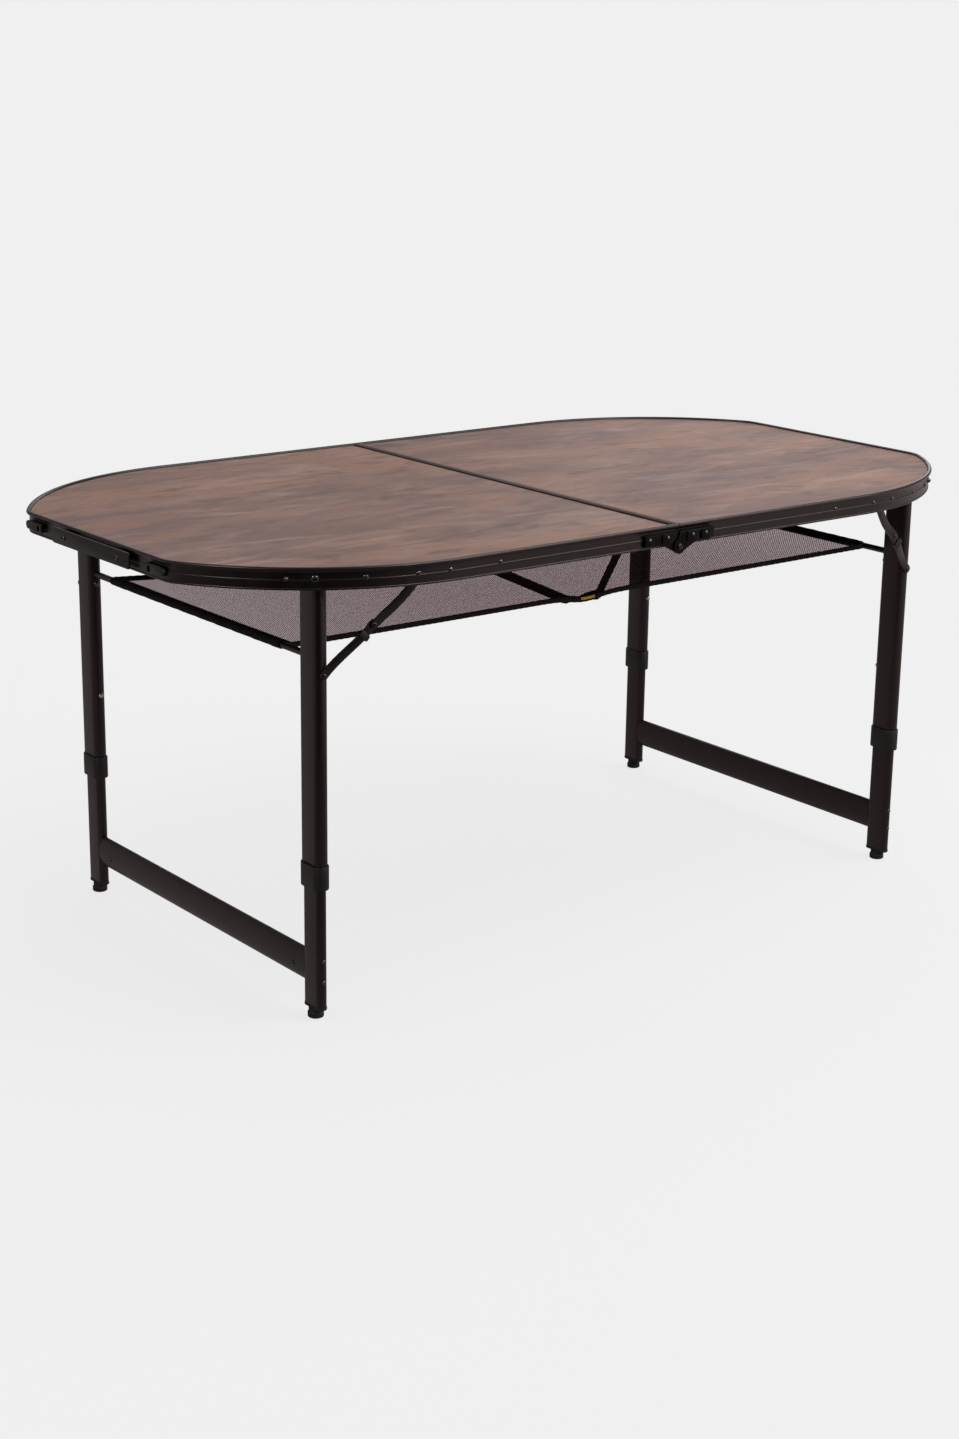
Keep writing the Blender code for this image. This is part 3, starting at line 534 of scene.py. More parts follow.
@dataclass(frozen=True)
class MouldedPlastic:
    """Black moulded plastic with a spark-eroded texture."""

    name: str
    colour: Colour = (0.0042, 0.0028, 0.0027, 1.0)
    scuffed: Colour = (0.0075, 0.0054, 0.0052, 1.0)
    roughness: float = 0.38
    specular: float = 0.36
    tone: Noise = Noise(60.0, 4.0)
    grain: Noise = Noise(1400.0, 1.0)
    scuff_span: Span = (0.45, 0.8)
    rough_spread: float = 0.14
    relief: Point = (0.0002, 0.3)

    def material(self) -> Material:
        """A fine grain over slow tone changes.

        Returns:
            The material.
        """
        graph = Graph.for_material(self.name)
        scuff = graph.between(graph.noise(self.tone), *self.scuff_span)
        grain = graph.noise(self.grain)
        return graph.finish({
            "Base Color": graph.mix(scuff, self.colour, self.scuffed),
            "Roughness": self.roughness + grain * self.rough_spread,
            "Specular IOR Level": self.specular,
            "Normal": graph.bump(grain, *self.relief),
        })


@dataclass(frozen=True)
class PlatedSteel:
    """Plated steel of rivets, pins, buttons and screws."""

    name: str
    colour: Colour = (0.50, 0.49, 0.47, 1.0)
    tarnish: Colour = (0.28, 0.265, 0.25, 1.0)
    roughness: float = 0.20
    metallic: float = 1.0
    specular: float = 0.5
    patches: Noise = Noise(420.0, 4.0)
    dull_span: Span = (0.4, 0.75)
    rough_spread: float = 0.16
    relief: Point = (0.0001, 0.15)

    def material(self) -> Material:
        """Patchy plating, duller where it is tarnished.

        Returns:
            The material.
        """
        graph = Graph.for_material(self.name)
        patches = graph.noise(self.patches)
        dull = graph.between(patches, *self.dull_span)
        return graph.finish({
            "Base Color": graph.mix(dull, self.colour, self.tarnish),
            "Roughness": self.roughness + dull * self.rough_spread,
            "Metallic": self.metallic,
            "Specular IOR Level": self.specular,
            "Normal": graph.bump(patches, *self.relief),
        })


@dataclass(frozen=True)
class NetCloth:
    """Knitted net: matt yarn with a twist across each strand."""

    name: str
    colour: Colour = (0.0150, 0.0090, 0.0095, 1.0)
    shade: Colour = (0.0080, 0.0045, 0.0050, 1.0)
    see_through: Colour = (1.0, 0.58, 0.63, 1.0)
    thinness: float = 0.128
    twist: Noise = Noise(1500.0)
    drift: Noise = Noise(22.0, 3.0)
    tone_shares: Point = (0.6, 0.4)
    tone_span: Span = (0.35, 0.65)
    roughness: float = 0.82
    rough_spread: float = 0.1
    specular: float = 0.06
    relief: Point = (0.0004, 0.5)

    def material(self) -> Material:
        """Tone changes from yarn to yarn over a fine twist.

        Returns:
            The material.
        """
        graph = Graph.for_material(self.name)
        twist, drift = graph.noise(self.twist), graph.noise(self.drift)
        of_twist, of_drift = self.tone_shares
        tone = graph.between(twist * of_twist + drift * of_drift, *self.tone_span)
        graph.let_through(self.thinness, self.see_through)
        return graph.finish({
            "Base Color": graph.mix(tone, self.shade, self.colour),
            "Roughness": self.roughness + twist * self.rough_spread,
            "Specular IOR Level": self.specular,
            "Normal": graph.bump(twist, *self.relief),
        })


@dataclass(frozen=True)
class Webbing:
    """Flat woven tape, with its threads counted along its own length and width."""

    name: str
    colour: Colour
    shade: Colour
    threads: Triple
    wave_scale: float = 0.5
    fuzz: Noise = Noise(700.0)
    tone_shares: Point = (0.7, 0.3)
    tone_span: Span = (0.2, 0.8)
    roughness: float = 0.78
    rough_spread: float = 0.14
    specular: float = 0.06
    relief: Point = (0.0005, 0.5)

    def material(self) -> Material:
        """Two crossed waves make the weave.

        Returns:
            The material.
        """
        graph = Graph.for_material(self.name)
        sockets = {"Vector": graph.along_cloth(self.threads), "Scale": self.wave_scale}
        settings = {"wave_type": "BANDS", "wave_profile": "SIN"}
        warp, weft = (
            graph.add("ShaderNodeTexWave", {**settings, "bands_direction": axis}, sockets) for axis in "XY"
        )
        weave = warp * 0.5 + weft * 0.5
        fuzz = graph.noise(self.fuzz)
        of_weave, of_fuzz = self.tone_shares
        tone = graph.between(weave * of_weave + fuzz * of_fuzz, *self.tone_span)
        return graph.finish({
            "Base Color": graph.mix(tone, self.shade, self.colour),
            "Roughness": self.roughness + fuzz * self.rough_spread,
            "Specular IOR Level": self.specular,
            "Normal": graph.bump(weave, *self.relief),
        })


WOOD = {
    Side.LEFT: WoodPrint("wood_print_left", (3.1, 7.3, 0.4)),
    Side.RIGHT: WoodPrint("wood_print_right", (11.7, 2.9, 5.2)),
}
RAIL_COAT = PowderCoat("rail_coat")
LEG_COAT = PowderCoat("leg_coat", roughness=0.26, specular=0.42)
HINGE_COAT = PowderCoat(
    "hinge_coat", (0.0014, 0.0010, 0.0010, 1.0), (0.0026, 0.0018, 0.0018, 1.0), specular=0.12,
)
BRACE_COAT = PowderCoat("brace_coat", roughness=0.26, specular=0.40)
# Painted light: the seam rails share one coat, split into a shaded copy and a lit copy. The left copy is darkened as
# painted shade for the gap between the rails. The right copy is lightened as painted light on its lit top.
SEAM_COAT_SHADED_AND_LIT = {
    Side.LEFT: PowderCoat(
        "seam_coat_left", (0.016, 0.010, 0.010, 1.0), (0.026, 0.017, 0.017, 1.0),
        roughness=0.40, specular=0.08,
    ),
    Side.RIGHT: PowderCoat(
        "seam_coat_right", (0.128, 0.087, 0.080, 1.0), (0.150, 0.102, 0.094, 1.0),
        roughness=0.40, specular=0.08,
    ),
}
FITTING_PLASTIC = MouldedPlastic("fitting_plastic")
GLOSSY_PLASTIC = MouldedPlastic(
    "glossy_plastic", (0.0012, 0.0008, 0.0008, 1.0), (0.0022, 0.0016, 0.0016, 1.0),
    roughness=0.20, specular=0.10,
)
FOOT_PLASTIC = MouldedPlastic("foot_plastic", roughness=0.56, grain=Noise(1000.0, 1.0))
STEEL = PlatedSteel("plated_steel")
BLACK_STEEL = PlatedSteel(
    "black_steel", (0.105, 0.097, 0.095, 1.0), (0.065, 0.060, 0.058, 1.0), roughness=0.07,
)
PIN_STEEL = PlatedSteel(
    "pin_steel", (0.050, 0.046, 0.045, 1.0), (0.030, 0.027, 0.026, 1.0), roughness=0.10,
)
DARK_STEEL = PlatedSteel(
    "dark_steel", (0.170, 0.160, 0.155, 1.0), (0.110, 0.102, 0.100, 1.0), roughness=0.10,
)
NET_YARN = NetCloth("net_yarn")
HEM_TAPE = Webbing(
    "hem_tape", (0.017, 0.0120, 0.0120, 1.0), (0.008, 0.0056, 0.0056, 1.0), threads=(360.0, 14.0, 1.0),
)
STRAP_TAPE = Webbing(
    "strap_tape", (0.016, 0.0110, 0.0110, 1.0), (0.007, 0.0050, 0.0050, 1.0), threads=(240.0, 16.0, 1.0),
)
TAB_TAPE = Webbing(
    "tab_tape", (0.50, 0.31, 0.040, 1.0), (0.26, 0.150, 0.018, 1.0), threads=(40.0, 4.0, 1.0),
)


@dataclass
class Bench:
    """Modelling by hand: each method leaves one object, at the origin, with its place in its mesh."""

    smooth_angle: float = math.radians(34)
    round_angle: float = math.radians(45)
    round_steps: int = 2
    flat_angle: float = math.radians(0.5)
    merge_gap: float = 0.00001

    @staticmethod
    def only(*pieces: Mesh) -> None:
        """Select some pieces and nothing else.

        Args:
            pieces: The pieces, of which the last becomes active.
        """
        bpy.ops.object.select_all(action="DESELECT")
        for piece in pieces:
            piece.select_set(True)
            bpy.context.view_layer.objects.active = piece

    @contextmanager
    def editing(self, piece: Mesh, parts: str) -> Iterator[None]:
        """Edit mode on one piece, with all of it selected.

        Args:
            piece: The piece.
            parts: The select mode: VERT, EDGE or FACE.

        Yields:
            Nothing, while the piece is in edit mode.
        """
        self.only(piece)
        bpy.ops.object.mode_set(mode="EDIT")
        bpy.ops.mesh.select_mode(type=parts)
        bpy.ops.mesh.select_all(action="SELECT")
        try:
            yield
        finally:
            bpy.ops.object.mode_set(mode="OBJECT")

    def primitive(self, shape: str, name: str, **settings: Any) -> Mesh:
        """A new primitive, selected alone.

        Args:
            shape: The primitive's word in Blender's operators.
            name: The piece's name.
            settings: The operator's own settings.

        Returns:
            The piece.
        """
        self.only()
        getattr(bpy.ops.mesh, f"primitive_{shape}_add")(**settings)
        piece = bpy.context.active_object
        piece.name = name
        return piece

    def tidy(self, piece: Mesh) -> Mesh:
        """Merge doubles and turn every face outwards.

        Args:
            piece: The piece.

        Returns:
            The same piece.
        """
        with self.editing(piece, "VERT"):
            bpy.ops.mesh.remove_doubles(threshold=self.merge_gap)
            bpy.ops.mesh.normals_make_consistent(inside=False)
        return piece

    def close_ends(self, piece: Mesh) -> Mesh:
        """Fill the open ends of a pushed or spun section.

        Args:
            piece: The piece, with its doubles merged.

        Returns:
            The same piece, closed and shaded.
        """
        with self.editing(piece, "EDGE"):
            bpy.ops.mesh.select_all(action="DESELECT")
            shape = bmesh.from_edit_mesh(piece.data)
            for edge in shape.edges:
                if edge.is_boundary:
                    edge.select_set(True)
            shape.select_flush_mode()
            bmesh.update_edit_mesh(piece.data)
            bpy.ops.mesh.fill_holes(sides=0)
        return self.smooth(self.tidy(piece))

    def modify(self, piece: Mesh, kind: str, **settings: Any) -> Mesh:
        """Add one modifier and apply it.

        Args:
            piece: The piece.
            kind: The modifier's type.
            settings: The modifier's own settings.

        Returns:
            The same piece.
        """
        step = piece.modifiers.new("step", kind)
        for key, value in settings.items():
            setattr(step, key, value)
        self.only(piece)
        bpy.ops.object.modifier_apply(modifier=step.name)
        return piece

    def smooth(self, piece: Mesh) -> Mesh:
        """Shade a piece smooth across its shallow edges."""
        self.only(piece)
        bpy.ops.object.shade_smooth_by_angle(angle=self.smooth_angle)
        return piece

    def round_edges(self, piece: Mesh, width: float) -> Mesh:
        """Round every sharp edge of a piece by a width."""
        settings = {"limit_method": "ANGLE", "angle_limit": self.round_angle, "use_clamp_overlap": True}
        self.modify(piece, "BEVEL", width=width, segments=self.round_steps, **settings)
        return self.smooth(piece)

    def plate(self, name: str, outline: Sequence[Point], thickness: float, rounding: float) -> Mesh:
        """A flat outline pushed up along Z, with rounded edges.

        Args:
            name: The piece's name.
            outline: Points of the outline in order.
            thickness: How far it is pushed.
            rounding: Width of the rounded edges.

        Returns:
            The plate, from z 0 up.
        """
        piece = self.primitive("circle", name, vertices=len(outline), radius=1.0, fill_type="NGON")
        for vertex, (u, v) in zip(piece.data.vertices, outline):
            vertex.co = (u, v, 0.0)
        with self.editing(piece, "FACE"):
            bpy.ops.mesh.extrude_region_move(TRANSFORM_OT_translate={"value": (0.0, 0.0, thickness)})
        self.tidy(piece)
        return self.round_edges(piece, rounding) if rounding else self.smooth(piece)

    def turned(self, name: str, profile: Sequence[Point], sides: int = 24) -> Mesh:
        """A turned solid about Z.

        Args:
            name: The piece's name.
            profile: Radius and height of each ring, from one end to the other.
            sides: Sides of each ring.

        Returns:
            The turned piece.
        """
        radius, level = profile[0]
        piece = self.primitive("circle", name, vertices=sides, radius=radius, fill_type="NGON")
        with self.editing(piece, "FACE"):
            bpy.ops.transform.translate(value=(0.0, 0.0, level))
            for wide, high in profile[1:]:
                bpy.ops.mesh.extrude_region_move(TRANSFORM_OT_translate={"value": (0.0, 0.0, high - level)})
                share = wide / radius
                bpy.ops.transform.resize(value=(share, share, 1.0), center_override=(0.0, 0.0, high))
                radius, level = wide, high
        return self.smooth(self.tidy(piece))

    def sheet(self, name: str, cells: tuple[int, int], shape: Callable[[float, float], Vector]) -> Mesh:
        """A grid laid on a curved surface.

        Args:
            name: The piece's name.
            cells: Cells along and across.
            shape: The surface, from shares 0 to 1 along and across.

        Returns:
            The sheet, with a UV map of its shares.
        """
        along, across = cells
        piece = self.primitive(
            "grid", name, x_subdivisions=along, y_subdivisions=across, size=1.0, calc_uvs=True,
        )
        for vertex in piece.data.vertices:
            vertex.co = shape(vertex.co.x + 0.5, vertex.co.y + 0.5)
        return piece

    def cut(self, piece: Mesh, tool: Mesh, operation: str = "DIFFERENCE") -> Mesh:
        """Cut one piece with another, which is used up."""
        self.modify(piece, "BOOLEAN", object=tool, operation=operation, solver="EXACT")
        self.discard(tool)
        return piece

    def copy(self, piece: Mesh, name: str, matrix: Matrix) -> Mesh:
        """A copy with its own mesh, moved or mirrored.

        Args:
            piece: The pattern.
            name: The copy's name.
            matrix: Where it goes.

        Returns:
            The copy.
        """
        made = bpy.data.objects.new(name, piece.data.copy())
        bpy.context.scene.collection.objects.link(made)
        return self.move(made, matrix)

    @staticmethod
    def move(piece: Mesh, matrix: Matrix) -> Mesh:
        """Move or mirror a piece within its mesh.

        Args:
            piece: The piece.
            matrix: Where it goes.

        Returns:
            The same piece, with its faces outwards.
        """
        piece.data.transform(matrix)
        if matrix.to_3x3().determinant() < 0:
            piece.data.flip_normals()
        return piece

    def join(self, pieces: Sequence[Mesh], name: str) -> Mesh:
        """Several pieces as one object.

        Args:
            pieces: The pieces, which are used up.
            name: The new piece's name.

        Returns:
            The new piece.
        """
        self.only(*pieces)
        bpy.ops.object.join()
        made = bpy.context.active_object
        made.name = name
        return made

    def softened(self, node: str, width: float) -> Mesh:
        """A construction node with rounded edges.

        Args:
            node: The node's name.
            width: Width of the rounded edges.

        Returns:
            A copy of the node, merged and rounded.
        """
        made = self.copy(frame["nodes"][node], f"{node}_finished", Matrix())
        with self.editing(made, "VERT"):
            bpy.ops.mesh.remove_doubles(threshold=self.merge_gap)
            bpy.ops.mesh.dissolve_limited(angle_limit=self.flat_angle)
        return self.round_edges(made, width)

    @staticmethod
    def discard(*pieces: Mesh) -> None:
        """Remove patterns and tools that are used up."""
        for piece in pieces:
            bpy.data.objects.remove(piece)


bench = Bench()


def paint(piece: Mesh, finish: Finish, slot: Slot) -> Mesh:
    """Give a piece its material and slot, and report it.

    Args:
        piece: The piece.
        finish: Its finish.
        slot: The record's slot for that finish.

    Returns:
        The piece.
    """
    piece.data.materials.clear()
    piece.data.materials.append(material_of(finish))
    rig.slot(piece, slot.value)
    log.info("%s in %s", piece.name, slot.value)
    return piece


def dress(piece: Mesh, finish: Finish, slot: Slot, body: str, *nodes: str) -> Mesh:
    """Give a finished piece its material, its slot, the body it rides on and the nodes it stands for.

    Args:
        piece: The piece, in place.
        finish: Its finish.
        slot: The record's slot for that finish.
        body: The body that it moves with.
        nodes: Construction nodes that it replaces.

    Returns:
        The piece.
    """
    paint(piece, finish, slot)
    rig.ride(piece, body)
    if nodes:
        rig.replaces(piece, *nodes)
    return piece


def dress_softened(node: str, width: float, finish: Finish, slot: Slot) -> Mesh:
    """A softened copy of a node, finished and riding on the node's own body."""
    return dress(bench.softened(node, width), finish, slot, frame["nodes"][node]["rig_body"], node)


def arc_points(
    radius: float, start: float, end: float, steps: int, centre: Sequence[float] = (0.0, 0.0),
) -> list[Point]:
    """Points of an arc between two angles in degrees, both included."""
    angles = [math.radians(start + (end - start) * k / steps) for k in range(steps + 1)]
    return [(centre[0] + radius * math.cos(a), centre[1] + radius * math.sin(a)) for a in angles]


def oval_points(wide: float, deep: float, steps: int = 14) -> list[Point]:
    """Outline of a flat oval, round at both ends of its depth.

    Args:
        wide: Its smaller size, along X.
        deep: Its larger size, along Y.
        steps: Steps of each round end.

    Returns:
        The outline's points.
    """
    radius = wide / 2
    shift = deep / 2 - radius
    rear = arc_points(radius, 0, 180, steps, (0, shift))
    return rear + arc_points(radius, 180, 360, steps, (0, -shift))


def block_points(wide: float, deep: float, corner: float, steps: int = 6) -> list[Point]:
    """Outline of a rectangle with rounded corners.

    Args:
        wide: Its size along X.
        deep: Its size along Y.
        corner: Radius of its corners.
        steps: Steps of each corner.

    Returns:
        The outline's points.
    """
    points = []
    for start, u, v in ((0, 1, 1), (90, -1, 1), (180, -1, -1), (270, 1, -1)):
        centre = (u * (wide / 2 - corner), v * (deep / 2 - corner))
        points += arc_points(corner, start, start + 90, steps, centre)
    return points


def ellipse_points(wide: float, deep: float, steps: int = 40) -> list[Point]:
    """Outline of an ellipse."""
    return [(wide / 2 * u, deep / 2 * v) for u, v in arc_points(1.0, 0, 360 - 360 / steps, steps - 1)]


def facing(direction: Sequence[float], place: Sequence[float]) -> Matrix:
    """The matrix that stands a piece made along +Z on a place, facing a direction."""
    turn = Vector(direction).to_track_quat("Z", "Y").to_matrix().to_4x4()
    return Matrix.Translation(Vector(place)) @ turn


def to_quarter(side: Side, end: End) -> Matrix:
    """The mirror that takes the right rear quarter to another one."""
    return Matrix.Diagonal((side.value, end.value, 1.0, 1.0))


UPRIGHT = Matrix.Rotation(math.pi / 2, 4, "X")


@dataclass(frozen=True)
class Box:
    """A construction node's box at rest."""

    low: Vector
    high: Vector

    @classmethod
    def of(cls, node: str) -> "Box":
        """The box of a node."""
        return cls(*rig.box(node))

    @property
    def size(self) -> Vector:
        """Its three sizes."""
        return self.high - self.low

    @property
    def middle(self) -> Vector:
        """Its centre."""
        return (self.low + self.high) / 2

    def face(self, axis: int, direction: int) -> float:
        """Its lowest or highest place along an axis."""
        return self.high[axis] if direction > 0 else self.low[axis]


@dataclass
class Fasteners:
    """Rivets and screws, each modelled once along +Z from its seat."""

    head_radius: float = 0.0042
    head_height: float = 0.0022
    ring_angles: tuple[float, ...] = (0.0, 0.35, 0.7, 1.05, 1.35)
    sunk: float = 0.0004
    screw_lift: float = 1.15
    socket_share: float = 0.45

    def dome(self, grow: float = 1.0, lift: float = 1.0) -> Mesh:
        """A domed rivet head.

        Args:
            grow: How many times wider than the plain head it is.
            lift: How many times taller.

        Returns:
            The head.
        """
        radius, height = self.head_radius * grow, self.head_height * lift
        rings = [(radius * math.cos(a), height * math.sin(a)) for a in self.ring_angles]
        return bench.turned("rivet_pattern", [(radius, -self.sunk)] + rings)

    def socket_screw(self, grow: float) -> Mesh:
        """A button-head screw with a six-sided socket.

        Args:
            grow: How many times wider than the plain rivet head it is.

        Returns:
            The screw's head.
        """
        screw = self.dome(grow, self.screw_lift)
        radius = self.head_radius * grow * self.socket_share
        height = self.head_height * self.screw_lift
        key = bench.turned("key", [(radius, height / 2), (radius, height * 1.5)], sides=6)
        return bench.smooth(bench.cut(screw, key))

    @staticmethod
    def fix(pattern: Mesh, places: Sequence[Matrix], name: str, finish: Finish, body: str) -> None:
        """Copy a pattern to every place, as one steel piece.

        Args:
            pattern: The head to copy.
            places: Where the copies stand.
            name: The piece's name.
            finish: Its finish.
            body: The body that it moves with.
        """
        copies = [bench.copy(pattern, f"{name}_{k}", place) for k, place in enumerate(places)]
        dress(bench.join(copies, name), finish, Slot.STEEL, body)


fasteners = Fasteners()


@dataclass
class TableTop:
    """Two printed boards in bent edge rails, with slim rails along the seam."""

    half_length: float = 0.750
    half_width: float = 0.420
    height: float = 0.675
    end_straight: float = 0.188
    corner_radius: float = 0.061
    corner_turn: float = 30.2
    corner_steps: int = 12
    side_steps: int = 30
    seam: float = 0.0005
    seam_rounding: float = 0.0005
    rail_height: float = 0.033
    bead: float = 0.0032
    bead_turn: float = 128.0
    face: float = 0.0045
    wall: float = 0.0065
    ledge: float = 0.0144
    ledge_drop: Point = (0.0088, 0.0108)
    ridge_drop: float = 0.0188
    ridge_radius: float = 0.0016
    ridge_proud: float = 0.0010
    ridge_turn: float = 80.0
    cove_foot: float = 0.0088
    cove_turn: float = 75.0
    rivet_drop: float = 0.0165
    rivets: tuple[float, ...] = (0.333, 0.420, 0.470, 0.543)
    bolts: tuple[float, ...] = (0.605,)
    studs: tuple[float, ...] = (0.637,)

    @property
    def corner(self) -> Vector:
        """Centre of the right rear corner arc."""
        return Vector((self.half_length - self.corner_radius, self.end_straight))

    @property
    def side_radius(self) -> float:
        """Radius of the wide arc between the long side and the corner."""
        rise = self.corner.y + self.corner_radius * math.sin(math.radians(self.corner_turn))
        return (self.half_width - rise) / (1 - math.sin(math.radians(self.corner_turn)))

    @property
    def shoulder(self) -> Vector:
        """Centre of the right rear wide arc."""
        shift = (self.corner_radius - self.side_radius) * math.cos(math.radians(self.corner_turn))
        return Vector((self.corner.x + shift, self.half_width - self.side_radius))

    def edge_at(self, x: float, inset: float) -> tuple[Vector, Vector]:
        """Point and outward normal of the rear edge.

        Args:
            x: Place along the right half.
            inset: How far inside the outline.

        Returns:
            The point and the normal, both in the plane of the top.
        """
        if x <= self.shoulder.x:
            return Vector((x, self.half_width - inset)), Vector((0.0, 1.0))
        centre, radius = self.shoulder, self.side_radius - inset
        if x > centre.x + radius * math.cos(math.radians(self.corner_turn)):
            centre, radius = self.corner, self.corner_radius - inset
        angle = math.acos((x - centre.x) / radius)
        normal = Vector((math.cos(angle), math.sin(angle)))
        return centre + normal * radius, normal

    def section(self) -> list[Point]:
        """Section of the edge rail: bead, ledge, wall, foot bead, ridge, cove.

        Returns:
            Inset and drop of each point.
        """
        bead = arc_points(self.bead, self.bead_turn, 360, steps=18, centre=(self.bead, self.bead))
        top, bottom = self.ledge_drop
        points = bead + [(2 * self.bead, top), (self.ledge, top), (self.ledge, bottom), (self.wall, bottom)]
        points += [(self.wall, self.rail_height), (self.face, self.rail_height)]
        bulge = arc_points(1.0, self.ridge_turn, -self.ridge_turn, steps=8)
        for drop in (self.rail_height - self.ridge_radius, self.ridge_drop):
            points += [(self.face - self.ridge_proud * u, drop + self.ridge_radius * v) for u, v in bulge]
        neck_inset, neck_drop = bead[0]
        reach, rise = self.face - neck_inset, self.cove_foot - neck_drop
        cove = arc_points(1.0, 0, self.cove_turn, steps=5)
        return points + [(neck_inset + reach * u, self.cove_foot - rise * v) for u, v in cove]

    def edge_rail(self) -> Mesh:
        """The right half's rail: its section pushed and spun round three sides.

        Returns:
            The rail, from seam to seam.
        """
        section = self.section()
        rail = bench.primitive("circle", "rail_pattern", vertices=len(section), fill_type="NOTHING")
        for vertex, (inset, drop) in zip(rail.data.vertices, section):
            vertex.co = (self.seam, self.half_width - inset, self.height - drop)
        wide, tight = 90 - self.corner_turn, self.corner_turn
        shoulder, corner = self.shoulder, self.corner
        with bench.editing(rail, "VERT"):
            self._push((shoulder.x - self.seam, 0.0, 0.0))
            self._spin(shoulder, wide, self.side_steps)
            self._spin(corner, tight, self.corner_steps)
            self._push((0.0, -2 * corner.y, 0.0))
            self._spin(Vector((corner.x, -corner.y)), tight, self.corner_steps)
            self._spin(Vector((shoulder.x, -shoulder.y)), wide, self.side_steps)
            self._push((self.seam - shoulder.x, 0.0, 0.0))
        return bench.close_ends(rail)

    @staticmethod
    def _push(shift: Sequence[float]) -> None:
        """Push the selected ring on."""
        bpy.ops.mesh.extrude_region_move(TRANSFORM_OT_translate={"value": shift})

    @staticmethod
    def _spin(centre: Vector, degrees: float, steps: int) -> None:
        """Spin the selected ring clockwise, as seen from above."""
        pivot = (centre.x, centre.y, 0.0)
        bpy.ops.mesh.spin(steps=steps, angle=math.radians(degrees), center=pivot, axis=(0.0, 0.0, 1.0))

    def rivet_places(self, xs: Sequence[float], side: Side) -> list[Matrix]:
        """Where rivets stand on the outer face of one half's rail.

        Args:
            xs: Their places along the right half.
            side: The half.

        Returns:
            A place on each long edge for every x.
        """
        places = []
        for x in xs:
            point, normal = self.edge_at(x, self.face)
            for end in End:
                flip = Vector((side.value, end.value, 1.0))
                spot = Vector((point.x, point.y, self.height - self.rivet_drop)) * flip
                places.append(facing(Vector((normal.x, normal.y, 0.0)) * flip, spot))
        return places

    def build(self) -> None:
        """Make both halves of the top."""
        rail = self.edge_rail()
        heads = {
            "rivets": (fasteners.dome(), self.rivets),
            "bolts": (fasteners.dome(grow=1.35, lift=1.2), self.bolts),
            "studs": (fasteners.dome(grow=1.05, lift=2.3), self.studs),
        }
        for side in Side:
            node = f"edge_rail_{side.word}"
            made = bench.copy(rail, f"{node}_bent", to_quarter(side, End.REAR))
            dress(made, RAIL_COAT, Slot.RAIL, side.half, node)
            paint(frame["nodes"][f"panel_{side.word}"], WOOD[side], Slot.TOP)
            # The seam rails take the painted-shade coat on the left and the painted-light coat on the right.
            dress_softened(f"seam_rail_{side.word}", self.seam_rounding, SEAM_COAT_SHADED_AND_LIT[side], Slot.SEAM)
            for word, (head, xs) in heads.items():
                places = self.rivet_places(xs, side)
                fasteners.fix(head, places, f"rail_{word}_{side.word}", BLACK_STEEL, side.half)
        bench.discard(rail, *(head for head, _ in heads.values()))


@dataclass
class CentreHinges:
    """Lapped hinge leaves on both long sides, with raised lugs, rivets and pins."""

    left_lugs: tuple[Point, ...] = ((-0.068, -0.049), (-0.034, -0.0125))
    right_lugs: tuple[Point, ...] = ((0.0125, 0.036), (0.041, 0.060))
    lug_levels: Point = (0.6475, 0.6625)
    lug_thickness: float = 0.0021
    lug_corner: float = 0.002
    lug_rounding: float = 0.0007
    leaf_rounding: float = 0.0005
    pin_rounding: float = 0.0008
    rivet_rise: float = 0.002

    def lug(self, span: Point, face: float, end: End) -> Mesh:
        """A raised lug on a leaf, with rounded corners.

        Args:
            span: Its two ends along X.
            face: The leaf's outer face along Y.
            end: The long edge it is on.

        Returns:
            The lug.
        """
        (left, right), (low, high) = span, self.lug_levels
        outline = block_points(right - left, high - low, self.lug_corner)
        made = bench.plate("lug", outline, self.lug_thickness, self.lug_rounding)
        return bench.move(made, facing((0, end.value, 0), ((left + right) / 2, face, (low + high) / 2)))

    def build(self) -> None:
        """Finish leaves and pins, and add the lugs and rivets."""
        head = fasteners.dome(grow=0.62, lift=0.9)
        level = sum(self.lug_levels) / 2 + self.rivet_rise
        for side, end, corner in CORNERS:
            dress_softened(f"hinge_leaf_{corner}", self.leaf_rounding, HINGE_COAT, Slot.RAIL)
            face = Box.of(f"hinge_leaf_{corner}").face(1, end.value)
            spans = self.left_lugs if side is Side.LEFT else self.right_lugs
            lugs = [self.lug(span, face, end) for span in spans]
            dress(bench.join(lugs, f"hinge_lugs_{corner}"), GLOSSY_PLASTIC, Slot.PLASTIC, side.half)
            proud = face + end.value * self.lug_thickness
            places = [facing((0, end.value, 0), (sum(span) / 2, proud, level)) for span in spans]
            fasteners.fix(head, places, f"hinge_rivets_{corner}", DARK_STEEL, side.half)
        for end in End:
            dress_softened(f"hinge_pin_{end.word}", self.pin_rounding, PIN_STEEL, Slot.STEEL)
        bench.discard(head)


